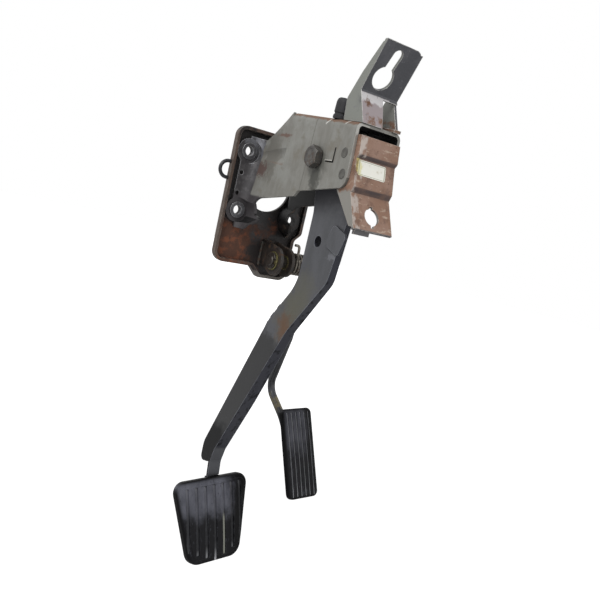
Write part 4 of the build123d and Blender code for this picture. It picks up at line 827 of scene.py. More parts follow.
def tread_rubber():
    """Moulded black rubber, polished by soles, with a painted grey sheen high up and on the near side: black
    low down, dust in the grooves, dirt and painted shade on their walls, and a painted highlight streak down
    one groove.
    """
    material, tree = new_finish("polished_tread_rubber")
    place = add(tree, "ShaderNodeUVMap", uv_map="Tread").outputs[0]
    marks = add(tree, "ShaderNodeUVMap", uv_map="Floor").outputs[0]
    wear_and_sheen = add(tree, "ShaderNodeUVMap", uv_map="WearAndSheen").outputs[0]
    axes = add(tree, "ShaderNodeSeparateXYZ", {"Vector": place})
    floor = add(tree, "ShaderNodeSeparateXYZ", {"Vector": marks})
    polish_and_sheen = add(tree, "ShaderNodeSeparateXYZ", {"Vector": wear_and_sheen})
    # Painted sheen: lighter high up and on the near side, where the face catches the light.
    high = band(tree, "Y", -0.55, 0.95, 22 * MM, ragged=0.14, along=place)
    near_sheen = band(tree, "X", 0.95, -0.15, 22 * MM, ragged=0.12, along=place)
    polished_sheen = both(tree, both(tree, high, near_sheen), polish_and_sheen.outputs["X"])
    # Painted highlight streaks over the sheen, stretched up the pad.
    film = both(tree, polished_sheen, patches(tree, 9 * MM, 0.5, 0.2, stretch=(1.0, 1.0, 0.3), seed=1.0))
    scuffs = both(tree, near_sheen, patches(tree, 2.4 * MM, 0.64, 0.05, stretch=(1.0, 1.0, 0.25), seed=4.0))
    # Painted highlight: a bright streak down the lower half of one groove floor.
    highlit_groove, groove_reach = 0.236, 0.055
    beside = add(tree, "ShaderNodeMath", {0: axes.outputs["X"], 1: highlit_groove}, operation="SUBTRACT")
    aside = add(tree, "ShaderNodeMath", {0: beside.outputs[0]}, operation="ABSOLUTE")
    chosen = add(tree, "ShaderNodeMath", {0: aside.outputs[0], 1: groove_reach}, operation="LESS_THAN")
    low_half = band(tree, "Y", 0.35, -0.2, 12 * MM, ragged=0.1, along=place)
    on_floor = add(tree, "ShaderNodeMath", {0: floor.outputs["X"], 1: 0.01}, operation="GREATER_THAN")
    groove_highlight = both(tree, both(tree, chosen.outputs[0], low_half), on_floor.outputs[0])
    # Dirt and painted shade on the groove walls and in the corners.
    grime_and_shade = dirt_and_shade_in_corners(tree, 1.2 * MM)
    rub = worn_edges(tree, 0.6 * MM, 6 * MM)
    return close_finish(material, [
        Coat(None, "060608", 0.45, 0.0),
        Coat(near_sheen, "151518", 0.45, 0.0),
        Coat(polished_sheen, "52535b", 0.44, 0.0),
        Coat(film, "676871", 0.44, 0.0),
        Coat(scuffs, "3a3b41", 0.6, 0.0),
        Coat(rub, "5a5b61", 0.4, 0.0),
        Coat(floor.outputs["Y"], "08080a", 0.5, 0.0),
        Coat(grime_and_shade, "060608", 0.7, 0.0),
        Coat(floor.outputs["X"], "abacb0", 0.6, 0.0),
        Coat(groove_highlight, "9a9b91", 0.5, 0.0),
    ], grain=[(fine_grain(tree, 0.9 * MM, 2.0), 0.02 * MM)], rounding=0.6 * MM,
        constants={"Specular IOR Level": 0.12})


def buffer_rubber():
    """Plain moulded rubber of the stop buffer: matt black with a grey bloom."""
    material, tree = new_finish("matt_buffer_rubber")
    bloom = patches(tree, 7 * MM, 0.52, 0.1, seed=2.0)
    return close_finish(material, [
        Coat(None, "17171a", 0.6, 0.0),
        Coat(bloom, "28282c", 0.7, 0.0),
    ], grain=[(fine_grain(tree, 1.0 * MM, 3.0), 0.02 * MM)], rounding=0.6 * MM)


def weld_steel():
    """Weld metal under primer: dark, rounded ripples with a brown edge."""
    material, tree = new_finish("primed_weld_metal")
    brown = patches(tree, 4 * MM, 0.55, 0.08, seed=1.0)
    return close_finish(material, [
        Coat(None, "45433f", 0.5, 0.3),
        Coat(brown, "4f3c30", 0.75, 0.1),
    ], grain=[(fine_grain(tree, 0.7 * MM, 2.0), 0.03 * MM)])


def spot_weld_steel():
    """Spot weld dimple: the primer is thin and darker over the fused disc."""
    material, tree = new_finish("primed_spot_weld")
    bloom = patches(tree, 2.4 * MM, 0.5, 0.1, seed=1.0)
    return close_finish(material, [
        Coat(None, "5f5e59", 0.6, 0.1),
        Coat(bloom, "52504c", 0.65, 0.1),
    ], grain=[(fine_grain(tree, 0.8 * MM, 2.0), 0.02 * MM)])


def label_film():
    """Paper under clear film, left bare: off-white, yellowed at its glued edge, with a thin border line."""
    material, tree = new_finish("yellowed_label_film")
    across = add(tree, "ShaderNodeUVMap", uv_map="Label").outputs[0]
    axes = add(tree, "ShaderNodeSeparateXYZ", {"Vector": across})
    past_border = []
    for axis, border_at in (("X", 0.93), ("Y", 0.86)):
        mirrored = add(tree, "ShaderNodeMath", {0: axes.outputs[axis]}, operation="ABSOLUTE")
        past = add(tree, "ShaderNodeMath", {0: mirrored.outputs[0], 1: border_at}, operation="SUBTRACT")
        past_border.append(past.outputs[0])
    outermost = add(tree, "ShaderNodeMath", {0: past_border[0], 1: past_border[1]}, operation="MAXIMUM")
    away = add(tree, "ShaderNodeMath", {0: outermost.outputs[0]}, operation="ABSOLUTE")
    border = add(tree, "ShaderNodeMapRange", {
        "Value": away.outputs[0], "From Min": 0.035, "From Max": 0.025})
    yellow = band(tree, "Y", -10 * MM, -17 * MM, 5 * MM)
    soil = patches(tree, 5 * MM, 0.64, 0.07, seed=3.0)
    return close_finish(material, [
        Coat(None, "f4f3e9", 0.35, 0.0),
        Coat(yellow, "e3deb0", 0.4, 0.0),
        Coat(soil, "dcd8c8", 0.5, 0.0),
        Coat(border.outputs[0], "a7a58d", 0.4, 0.0),
    ], rounding=0.05 * MM)


def glue_stain():
    """Old label glue: a thin yellow-brown film that has caught dirt."""
    material, tree = new_finish("aged_label_glue")
    dirt = patches(tree, 3 * MM, 0.5, 0.1, seed=1.0)
    return close_finish(material, [
        Coat(None, "b8a765", 0.45, 0.0),
        Coat(dirt, "8c7c52", 0.6, 0.0),
    ], rounding=0.05 * MM)


FINISHES = {function.__name__: function for function in (
    box_primer, plate_primer, grimy_primer, washer_primer, greasy_steel, bracket_primer, hanger_primer,
    arm_enamel, rod_enamel, bolt_zinc, spring_wire, tarnished_brass, tread_rubber, buffer_rubber,
    weld_steel, spot_weld_steel, label_film, glue_stain)}
MADE = {}

NODE_FINISHES = {
    "box_primer": ["box_channel"],
    "hanger_primer": ["upper_bracket"],
    "plate_primer": ["firewall_plate"],
    "grimy_primer": ["accel_bracket"],
    "bracket_primer": ["rear_bracket"],
    "arm_enamel": ["brake_arm", "striker_tab", "brake_hub", "accel_lever", "brake_pad_plate",
                   "accel_pad_plate"],
    "rod_enamel": ["accel_rod", "harness_loop"],
    "washer_primer": ["boss_washers"],
    "bolt_zinc": ["pivot_washer", "pivot_sleeve"],
    "greasy_steel": ["accel_shaft", "accel_clip"],
    "tarnished_brass": ["brake_bushes", "accel_bushes"],
}


def finish(name):
    """One material of each kind, made when it is first asked for."""
    if name not in MADE:
        MADE[name] = FINISHES[name]()
    return MADE[name]


def settle(piece, body, replaced=(), material=None):
    """Give a finished piece its finish, hang it under its body, and hide the nodes it stands for."""
    if material:
        piece.data.materials.clear()
        piece.data.materials.append(finish(material))
    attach(piece, body)
    if replaced:
        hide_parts(*replaced)


# Settings

class PadSettings(bpy.types.PropertyGroup):
    """Sizes and place of one ribbed pad cover."""
    place: FloatVectorProperty(name="Place", description="Middle of the pad's face", subtype="TRANSLATION",
                               default=mm(38, 0, -337))
    tilt: FloatProperty(name="Tilt", description="How far the face leans up", default=radians(18.6),
                        subtype="ANGLE")
    yaw: FloatProperty(name="Yaw", description="Turn of the face to the far side", default=radians(7.0),
                       subtype="ANGLE")
    roll: FloatProperty(name="Roll", description="Turn of the pad in its own face", default=radians(3.4),
                        subtype="ANGLE")
    width: FloatProperty(name="Width", description="Width at the top", default=90 * MM, subtype="DISTANCE")
    foot: FloatProperty(name="Foot width", description="Width at the foot", default=61 * MM,
                        subtype="DISTANCE")
    height: FloatProperty(name="Height", description="Height of the cover", default=85 * MM,
                          subtype="DISTANCE")
    thickness: FloatProperty(name="Thickness", description="Thickness of the rubber", default=8 * MM,
                             subtype="DISTANCE")
    crown: FloatProperty(name="Crown", description="How far the middle stands proud", default=2.2 * MM,
                         subtype="DISTANCE")
    edge: FloatProperty(name="Edge", description="Radius of the rim's edge", default=2.8 * MM,
                        subtype="DISTANCE")
    border: FloatProperty(name="Border", description="Flat border outside the raised field",
                          default=1.8 * MM, subtype="DISTANCE")
    step: FloatProperty(name="Step", description="How far the field stands above its border",
                        default=0.8 * MM, subtype="DISTANCE")
    top_corner: FloatProperty(name="Top corner", description="Corner radius at the top", default=11 * MM,
                              subtype="DISTANCE")
    low_corner: FloatProperty(name="Low corner", description="Corner radius at the foot", default=14 * MM,
                              subtype="DISTANCE")
    grooves: IntProperty(name="Grooves", description="Number of grooves", default=7, min=1)
    pitch: FloatProperty(name="Pitch", description="Spacing of the grooves", default=10.6 * MM,
                         subtype="DISTANCE")
    groove_width: FloatProperty(name="Groove width", description="Width at the mouth", default=4.0 * MM,
                                subtype="DISTANCE")
    groove_depth: FloatProperty(name="Groove depth", description="Depth below the face", default=1.5 * MM,
                                subtype="DISTANCE")
    groove_length: FloatProperty(name="Groove length", description="Length of the middle grooves",
                                 default=77 * MM, subtype="DISTANCE")
    groove_drop: FloatProperty(name="Groove drop", description="How far the grooves sit below the middle",
                               default=3.2 * MM, subtype="DISTANCE")
    shortening: FloatProperty(name="Shortening", description="Length lost for each step outwards",
                              default=0.42)
    dust: FloatProperty(name="Dust", description="Share of dust in the middle of the grooves", default=0.08,
                        subtype="FACTOR")
    # Strength of the polish and of the painted sheen on the high side.
    polish_and_sheen: FloatProperty(name="Polish", description="How far soles have polished the high side",
                          default=1.0, subtype="FACTOR")
    rim: FloatProperty(name="Rim", description="Width of the unworn black rim", default=3.6 * MM,
                       subtype="DISTANCE")


class SpringSettings(bpy.types.PropertyGroup):
    """Sizes of the two torsion springs."""
    wire: FloatProperty(name="Wire", description="Wire diameter", default=2.6 * MM, subtype="DISTANCE")
    turns: IntProperty(name="Turns", description="Turns of each coil", default=4, min=1)
    brake_radius: FloatProperty(name="Brake coil", description="Mean radius round the hub",
                                default=14.45 * MM, subtype="DISTANCE")
    brake_pitch: FloatProperty(name="Brake pitch", description="Rise for each turn", default=3.0 * MM,
                               subtype="DISTANCE")
    accel_radius: FloatProperty(name="Accelerator coil", description="Mean radius round the shaft",
                                default=9.6 * MM, subtype="DISTANCE")
    accel_pitch: FloatProperty(name="Accelerator pitch", description="Rise for each turn", default=3.38 * MM,
                               subtype="DISTANCE")


class DetailSettings(bpy.types.PropertyGroup):
    """Sizes of the fasteners, welds and label."""
    head_flats: FloatProperty(name="Head flats", description="Width across the flats", default=16 * MM,
                              subtype="DISTANCE")
    bolt_size: FloatProperty(name="Bolt size", description="Diameter of the pivot bolt", default=10 * MM,
                             subtype="DISTANCE")
    thread_pitch: FloatProperty(name="Thread pitch", description="Pitch of the pivot thread",
                                default=1.5 * MM, subtype="DISTANCE")
    bead_width: FloatProperty(name="Bead width", description="Width of a weld bead", default=3.0 * MM,
                              subtype="DISTANCE")
    ripple: FloatProperty(name="Ripple", description="Spacing of the ripples in a bead", default=1.0 * MM,
                          subtype="DISTANCE")
    spot_radius: FloatProperty(name="Spot weld", description="Radius of a spot weld", default=4.1 * MM,
                               subtype="DISTANCE")
    label_width: FloatProperty(name="Label width", description="Width of the bare label", default=27.5 * MM,
                               subtype="DISTANCE")
    label_height: FloatProperty(name="Label height", description="Height of the bare label",
                                default=11.8 * MM, subtype="DISTANCE")


class StageSettings(bpy.types.PropertyGroup):
    """Camera and floor."""
    aim: FloatVectorProperty(name="Aim", description="Point that the camera turns about",
                             subtype="TRANSLATION", default=(0.1, 0.0, -0.12))
    azimuth: FloatProperty(name="Azimuth", description="Camera direction", default=radians(55.4),
                           subtype="ANGLE")
    elevation: FloatProperty(name="Elevation", description="Camera height", default=radians(10.9),
                             subtype="ANGLE")
    roll: FloatProperty(name="Roll", description="Turn of the picture", default=radians(13.2),
                        subtype="ANGLE")
    distance: FloatProperty(name="Distance", description="Camera distance", default=0.5819,
                            subtype="DISTANCE")
    lens: FloatProperty(name="Lens", description="Focal length in millimetres", default=39.46)
    shift: FloatVectorProperty(name="Shift", description="Lens shift", size=2, default=(0.0117, 0.0557))
    floor_gap: FloatProperty(name="Floor gap", description="Floor below the lowest point", default=0.12,
                             subtype="DISTANCE")


# Pads

def pad_matrix(pad):
    """Place of a pad's face: its own X across, Y up the pad and Z out of the face."""
    side = Vector((-sin(pad.yaw), cos(pad.yaw), 0.0))
    rear = Vector((cos(pad.yaw), sin(pad.yaw), 0.0))
    up = Vector((0.0, 0.0, 1.0)) * cos(pad.tilt) - rear * sin(pad.tilt)
    across = side * cos(pad.roll) + up * sin(pad.roll)
    out = side.cross(up)
    axes = Matrix((across, out.cross(across), out)).transposed()
    return Matrix.Translation(pad.place) @ axes.to_4x4()


def pad_ring(pad, inset, height):
    """One ring of a cover, drawn in by inset."""
    high = pad.height / 2 - inset
    wide = pad.width / 2 - inset
    foot = pad.foot / 2 - inset
    corners = [(wide, high), (-wide, high), (-foot, -high), (foot, -high)]
    smallest = 1.5 * MM
    radii = [max(radius - inset, smallest) for radius in
             (pad.top_corner, pad.top_corner, pad.low_corner, pad.low_corner)]
    return [Vector((*point, height)) for point in rounded_outline(corners, radii)]


def pad_blank(pad):
    """The cover before its grooves: straight sides, a round rim and a field raised inside its border."""
    back_edge = 0.6 * MM
    rim_steps, face_steps = 5, 12

    def build(shape):
        rings = [pad_ring(pad, back_edge, -pad.thickness), pad_ring(pad, 0.0, back_edge - pad.thickness)]
        for step in range(rim_steps + 1):
            angle = pi / 2 * step / rim_steps
            rings.append(pad_ring(pad, pad.edge * (1 - cos(angle)), pad.edge * (sin(angle) - 1)))
        inset = pad.edge + pad.border
        rings.append(pad_ring(pad, inset, 0.0))
        field = pad_ring(pad, inset + pad.step, pad.step)
        for step in range(face_steps):
            share = 1 - step / face_steps
            rings.append([Vector((p.x * share, p.y * share, p.z)) for p in field])
        join_rings(shape, rings)
    return mesh_from("pad_blank", build)


def mark_tread(mesh, pad):
    """Note each corner's place on the pad, the dust on groove floors, the unworn rim, and the polish with its
    painted sheen.
    """
    floor_height = pad.step - pad.groove_depth
    ends_from, ends_to, top_share, rim_gain = 0.65, 0.9, 0.4, 1.25
    tread, floor, wear_and_sheen = [mesh.uv_layers.new(name=name) for name in ("Tread", "Floor", "WearAndSheen")]
    for face in mesh.polygons:
        is_floor = face.normal.z > 0.99 and abs(face.center.z - floor_height) < 0.02 * MM
        for loop in face.loop_indices:
            point = mesh.vertices[mesh.loops[loop].vertex_index].co
            up = 2 * point.y / pad.height
            half_width = (pad.foot + (pad.width - pad.foot) * (1 + up) / 2) / 2
            inset = min(half_width - abs(point.x), pad.height / 2 - abs(point.y))
            gathered = clamped((abs(up) - ends_from) / (ends_to - ends_from)) * (top_share if up > 0 else 1.0)
            dust = pad.dust + (1 - pad.dust) * gathered if is_floor else 0.0
            tread.data[loop].uv = (2 * point.x / pad.width, up)
            floor.data[loop].uv = (dust, clamped(rim_gain * (1 - inset / pad.rim)))
            wear_and_sheen.data[loop].uv = (pad.polish_and_sheen, 0.0)


def crown_cover(mesh, pad):
    """Let the middle of the face stand proud, grooves and all, while the back stays flat."""
    for vertex in mesh.vertices:
        point = vertex.co
        spread = (2 * point.x / pad.width) ** 2 + (2 * point.y / pad.height) ** 2
        share = clamped(1 + point.z / pad.thickness)
        point.z += pad.crown * max(0.0, 1 - 0.7 * spread) * share


def groove_cutter(width, depth, above):
    """A drafted bar of unit length that cuts one groove from above the face to its floor."""
    half, half_floor, parts = width / 2, width * 0.38, 12
    profile = [(-half, above), (-half_floor, -depth), (half_floor, -depth), (half, above)]

    def build(shape):
        cuts = [[shape.verts.new((x, part / parts - 0.5, z)) for x, z in profile]
                for part in range(parts + 1)]
        for first, second in zip(cuts, cuts[1:]):
            for i in range(len(profile)):
                j = (i + 1) % len(profile)
                shape.faces.new((first[i], first[j], second[j], second[i]))
        for end in (cuts[0], cuts[-1]):
            shape.faces.new(end)
    return new_object("groove_cutter", mesh_from("groove_cutter", build))


def make_pad(pad, name, body, node):
    """Cut the grooves into a blank, and set the cover on its steel plate."""
    cutter = groove_cutter(pad.groove_width, pad.groove_depth - pad.step, pad.step + MM)
    blank = new_object("blank", pad_blank(pad))
    cover = bake_modifier(blank, name, groove_tree(), {
        "Cutter": cutter, "Count": pad.grooves, "Pitch": pad.pitch, "Length": pad.groove_length,
        "Shortening": pad.shortening, "Drop": pad.groove_drop, "Finish": finish("tread_rubber")})
    bpy.data.objects.remove(cutter)
    mark_tread(cover.data, pad)
    crown_cover(cover.data, pad)
    smooth_by_angle(cover.data, radians(28))
    cover.data.transform(pad_matrix(pad))
    settle(cover, body, [node])


# Springs

def coil_route(centre, radius, pitch, turns, start_y, way, head, tail, steps=28):
    """Path of a torsion spring wound about Y, its coil first, then a run of steps at each end."""
    coil = []
    for i in range(turns * steps + 1):
        angle = 2 * pi * i / steps
        coil.append(Vector((centre.x + radius * cos(angle), start_y + way * pitch * i / steps,
                            centre.z - radius * sin(angle))))
    lean = way * pitch / (2 * pi * radius)
    along = Vector((0.0, lean, -1.0)).normalized()
    start = [coil[0] - along * head[0]]
    for step in head[1:]:
        start.insert(0, start[0] + Vector(step))
    end = [coil[-1] + along * tail[0]]
    for step in tail[1:]:
        end.append(end[-1] + Vector(step))
    return start + coil + end


def make_wire(name, route, wire):
    """Sweep round spring wire along a route, its corners bent to the wire's own size."""
    path = curve_through(name + "_path", [route])
    return bake_modifier(path, name, wire_tree(), {
        "Wire diameter": wire, "Bend radius": wire, "Sides": 14, "Finish": finish("spring_wire")})


def make_springs(springs):
    """The brake's return spring and the accelerator's spring, each wound about its hinge."""
    wire = springs.wire
    low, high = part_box("brake_return_spring")
    far_y = high.y - wire / 2
    edge_x = BRAKE_AXIS.x + springs.brake_radius
    drop = BRAKE_AXIS.z - springs.brake_radius - low.z - wire / 2
    run = high.x - wire / 2 - edge_x
    rise = high.z - wire / 2 - BRAKE_AXIS.z
    route = coil_route(BRAKE_AXIS, springs.brake_radius, springs.brake_pitch, springs.turns, far_y, -1,
                       [rise, (-springs.brake_radius, 0, 0)], [springs.brake_radius, (run, 0, -drop)])
    piece = make_wire("return_spring_wire", route, wire)
    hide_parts("brake_return_spring")
    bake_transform(piece)

    low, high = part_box("accel_spring")
    tab = 2 * wire
    start_y = low.y + tab + wire / 2
    end_y = start_y + springs.accel_pitch * springs.turns
    forward = ACCEL_AXIS.x + springs.accel_radius - low.x - wire / 2
    hook_drop = ACCEL_AXIS.z - springs.accel_radius - low.z - wire / 2
    route = coil_route(ACCEL_AXIS, springs.accel_radius, springs.accel_pitch, springs.turns, start_y, 1,
                       [2 * springs.accel_radius, (0, -tab, 0)],
                       [springs.accel_radius, (-forward, 0, -hook_drop), (0, high.y - end_y, 0)])
    piece = make_wire("accelerator_spring_wire", route, wire)
    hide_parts("accel_spring")
    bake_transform(piece)


# Fasteners

def hex_rings(flats, low, high, bore, columns):
    """Rings of a hexagonal form along its axis, chamfered by a cone at both ends."""
    chamfer_radius = flats / 2 * 0.95
    slope = tan(radians(30))

    def flat_radius(angle):
        return flats / 2 / cos((angle + pi / 6) % (pi / 3) - pi / 6)

    def ring(place):
        points = []
        for i in range(columns):
            angle = 2 * pi * i / columns
            radius, height = place(flat_radius(angle))
            points.append((radius * cos(angle), radius * sin(angle), height))
        return points

    def cone(radius):
        return max(0.0, radius - chamfer_radius) * slope

    return [circle(bore, low, columns), circle(chamfer_radius, low, columns),
            ring(lambda r: (r, low + cone(r))), ring(lambda r: (r, high - cone(r))),
            circle(chamfer_radius, high, columns)]


def thread_rings(radius, low, high, pitch, columns, slices=6):
    """Rings of a screw thread: the surface rises and falls once for each pitch, turning as it goes."""
    depth = 0.55 * pitch
    tip = 1 * MM
    count = ceil((high - low) / pitch * slices)
    rings = []
    for k in range(count + 1):
        height = low + (high - low) * k / count
        ring = []
        for i in range(columns):
            angle = 2 * pi * i / columns
            phase = (height / pitch - i / columns) % 1.0
            reach = radius - depth * abs(2 * phase - 1)
            reach = min(reach, radius - max(0.0, tip - (high - height)))
            ring.append((reach * cos(angle), reach * sin(angle), height))
        rings.append(ring)
    return rings


def along_y(mesh, axis, place_y, outward):
    """Stand a form made along Z on the Y axis at a place, pointing outward (1) or back (-1)."""
    turn = Matrix.Rotation(-outward * pi / 2, 4, "X")
    mesh.transform(Matrix.Translation((axis.x, place_y, axis.z)) @ turn)


def make_pivot_bolt(detail):
    """Hex head with a washer face, plain shank and a threaded end."""
    low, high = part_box("pivot_bolt")
    near_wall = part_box("pivot_sleeve")[0].y - WALL_SHEET
    thread_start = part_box("pivot_nut")[0].y - near_wall
    shank = detail.bolt_size / 2
    head = near_wall - low.y

    def build_head(shape):
        face, dish_depth = 0.6 * MM, 0.4 * MM
        washer = detail.head_flats / 2 * 0.94
        skirt = [circle(washer, 0.0, HEX_COLUMNS), circle(washer, face, HEX_COLUMNS)]
        sides = hex_rings(detail.head_flats, face, head, 0.0, HEX_COLUMNS)[1:]
        dish = [circle(washer * 0.8, head, HEX_COLUMNS), circle(washer * 0.7, head - dish_depth, HEX_COLUMNS)]
        join_rings(shape, skirt + sides + dish)

    def build_shank(shape):
        columns, run_out = 32, 0.5 * MM
        smooth = [circle(shank, z, columns) for z in (0.0, thread_start - run_out)]
        thread = thread_rings(shank, thread_start, high.y - near_wall, detail.thread_pitch, columns)
        join_rings(shape, smooth + thread)

    head_mesh = mesh_from("pivot_bolt_head", build_head)
    smooth_by_angle(head_mesh, radians(20))
    along_y(head_mesh, BRAKE_AXIS, near_wall, -1)
    shank_mesh = mesh_from("pivot_bolt_shank", build_shank)
    smooth_by_angle(shank_mesh, radians(50))
    along_y(shank_mesh, BRAKE_AXIS, near_wall, 1)
    settle(new_object("pivot_bolt_head", head_mesh), "pedal_box", ["pivot_bolt"], "bolt_zinc")
    settle(new_object("pivot_bolt_shank", shank_mesh), "pedal_box", (), "bolt_zinc")


def make_pivot_nut(detail):
    """Hex nut, chamfered on both faces, with a countersunk bore."""
    low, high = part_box("pivot_nut")
    height = high.y - low.y
    clearance, sink = 0.05 * MM, 0.7 * MM
    bore = detail.bolt_size / 2 + clearance

    def build(shape):
        sides = hex_rings(detail.head_flats, 0.0, height, bore, HEX_COLUMNS)
        hole = [circle(bore + sink, height, HEX_COLUMNS), circle(bore, height - sink, HEX_COLUMNS),
                circle(bore, 0.0, HEX_COLUMNS)]
        join_rings(shape, sides + hole, close_ends=False)

    mesh = mesh_from("pivot_nut_hex", build)
    smooth_by_angle(mesh, radians(20))
    along_y(mesh, BRAKE_AXIS, low.y, 1)
    settle(new_object("pivot_nut_hex", mesh), "pedal_box", ["pivot_nut"], "bolt_zinc")


# Buffer

def make_buffer():
    """Moulded stop buffer: domed, with a grip groove above its foot."""
    low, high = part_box("bump_stop")
    middle = (low + high) / 2
    radius = (high.y - low.y) / 2
    top_fall, top_run = 7 * MM, 93 * MM
    slope = atan2(top_fall, top_run)
    height = high.z - middle.z + (middle.z - low.z) - 2 * radius * sin(slope)
    profile = [(0.98, 0.0), (1.0, 0.05), (1.0, 0.16), (0.9, 0.2), (0.9, 0.26), (1.0, 0.3), (1.0, 0.76),
               (0.96, 0.86), (0.86, 0.94), (0.7, 0.985), (0.45, 1.0)]

    def build(shape):
        join_rings(shape, [circle(radius * share, height * rise, 48) for share, rise in profile])

    mesh = mesh_from("stop_buffer", build)
    smooth_by_angle(mesh, radians(40))
    lean = Matrix.Rotation(slope, 4, "Y")
    foot = middle - lean @ Vector((0.0, 0.0, height / 2))
    mesh.transform(Matrix.Translation(foot) @ lean)
    settle(new_object("stop_buffer", mesh), "pedal_box", ["bump_stop"], "buffer_rubber")


# Label

def surface_at(name, y, z, front=False):
    """Where the rear side of a node, or its front, lies at one place in rear view."""
    low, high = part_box(name)
    start, way = (low.x - 10 * MM, 1.0) if front else (high.x + 10 * MM, -1.0)
    found, place = NODES[name].ray_cast((start, y, z), (way, 0.0, 0.0))[:2]
    if not found:
        raise RuntimeError(f"{name} has no surface at y {y:.4f}, z {z:.4f}")
    return place


def make_label(detail):
    """Bare label on the middle face of the rear bracket, with the glue that shows beside it."""
    face_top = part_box("rear_bracket")[1].z - 18.5 * MM
    face_height = 12 * MM
    corner, sheet = 1.6 * MM, 0.12 * MM
    top = surface_at("rear_bracket", 0.0, face_top)
    down = (surface_at("rear_bracket", 0.0, face_top - face_height) - top).normalized()
    across = Vector((0.0, 1.0, 0.0))
    out = across.cross(-down)

    def film(name, centre_y, centre_down, wide, tall, lift, turn, material):
        corners = [(wide / 2, tall / 2), (-wide / 2, tall / 2), (-wide / 2, -tall / 2), (wide / 2, -tall / 2)]
        flat = rounded_outline(corners, [corner] * 4, steps=5)

        def build(shape):
            join_rings(shape, [[(p.x, p.y, z) for p in flat] for z in (0.0, sheet)])

        mesh = mesh_from(name, build)
        layer = mesh.uv_layers.new(name="Label")
        for loop in mesh.loops:
            place = mesh.vertices[loop.vertex_index].co
            layer.data[loop.index].uv = (2 * place.x / wide, 2 * place.y / tall)
        axes = Matrix((across, -down, out)).transposed().to_4x4()
        origin = top + down * centre_down + across * centre_y + out * lift
        mesh.transform(Matrix.Translation(origin) @ axes @ Matrix.Rotation(turn, 4, "Z"))
        settle(new_object(name, mesh), "pedal_box", (), material)

    film("bare_label", centre_y=-3.4 * MM, centre_down=5.4 * MM, wide=detail.label_width,
         tall=detail.label_height, lift=0.08 * MM, turn=radians(-1), material="label_film")
    film("label_glue", centre_y=-17.4 * MM, centre_down=3.4 * MM, wide=3.6 * MM, tall=11 * MM,
         lift=0.02 * MM, turn=radians(3), material="glue_stain")


# Welds

def ring_about_y(centre, radius, y, steps=40):
    """Points round a circle about Y."""
    return [Vector((centre.x + x, y, centre.z + z)) for x, z, _ in circle(radius, y, steps)]


def lay_bead(detail, name, routes, closed, width, seed, body):
    """One weld piece along its routes."""
    path = curve_through(name + "_path", routes, cyclic=closed)
    piece = bake_modifier(path, name, bead_tree(), {
        "Ripple spacing": detail.ripple, "Bead width": width, "Seed": seed, "Finish": finish("weld_steel")})
    settle(piece, body)


def make_beads(detail):
    """Arc-weld beads where the pressings, hub, eye and lever are joined."""
    hub_low, hub_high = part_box("brake_hub")
    hub_radius, hub_gap = (hub_high.x - hub_low.x) / 2, 0.4 * MM
    web_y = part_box("brake_arm")[0].y - 0.3 * MM
    shaft_radius, shaft_gap = 5 * MM, 0.3 * MM
    lever_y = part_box("accel_lever")[1].y + 0.2 * MM
    ears_low, ears_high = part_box("accel_bracket")
    ear_x = ears_low.x + 0.6 * MM
    ear_ends = (ears_low.z + 5 * MM, ears_high.z - 3 * MM)
    ear_sides = (ears_low.y - 0.4 * MM, ears_high.y + 0.4 * MM)
    groups = {
        "brake": ("brake_arm_beads", "dark_paint", True,
                  [ring_about_y(BRAKE_AXIS, hub_radius + hub_gap, web_y)]),
        "accelerator": ("accelerator_beads", "dark_paint", True,
                        [ring_about_y(ACCEL_AXIS, shaft_radius + shaft_gap, lever_y)]),
        "pedal_box": ("accel_bracket_beads", "plate_paint", False,
                      [[Vector((ear_x, y, z)) for z in ear_ends] for y in ear_sides]),
    }
    for seed, (body, (name, slot, closed, routes)) in enumerate(groups.items()):
        lay_bead(detail, name, routes, closed, detail.bead_width, seed, body)


def make_tack_welds(detail):
    """Three short tacks on the front edge of the brake arm, at its bend."""
    edge_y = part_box("brake_arm")[0].y + 2.5 * MM
    step = 1.6 * MM
    routes = [[surface_at("brake_arm", edge_y, z + step * i, front=True) for i in (-1, 0, 1)]
              for z in mm(-103, -112.5, -122.5)]
    lay_bead(detail, "arm_tacks", routes, closed=False, width=1.5 * detail.bead_width, seed=7,
             body="brake")


def make_spot_welds(detail):
    """Spot-weld dimples on the walls, over the rear bracket's flanges."""
    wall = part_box("pivot_sleeve")[1].y + WALL_SHEET
    places = [mm(144, 36), mm(147, 20)]
    profile = [(1.0, 0.0), (0.97, 0.05 * MM), (0.85, 0.07 * MM), (0.7, 0.05 * MM), (0.3, 0.04 * MM)]
    seed_radius = 0.3 * MM

    def build_mark(shape):
        join_rings(shape, [circle(detail.spot_radius * share, height, 32) for share, height in profile])

    mark_mesh = mesh_from("spot_mark", build_mark)
    smooth_by_angle(mark_mesh, radians(40))
    mark = new_object("spot_mark", mark_mesh)
    seeds_mesh = bpy.data.meshes.new("spot_seeds")
    shape = bmesh.new()
    for side in (-1, 1):
        for middle_x, middle_z in places:
            corners = circle(seed_radius, side * wall, 3)[::-side]
            shape.faces.new([shape.verts.new((middle_x + x, y, middle_z + z)) for x, z, y in corners])
    shape.to_mesh(seeds_mesh)
    shape.free()
    piece = bake_modifier(new_object("spot_seeds", seeds_mesh), "spot_welds", stamp_tree(), {
        "Mark": mark, "Finish": finish("spot_weld_steel")})
    bpy.data.objects.remove(mark)
    settle(piece, "pedal_box")


# Stage

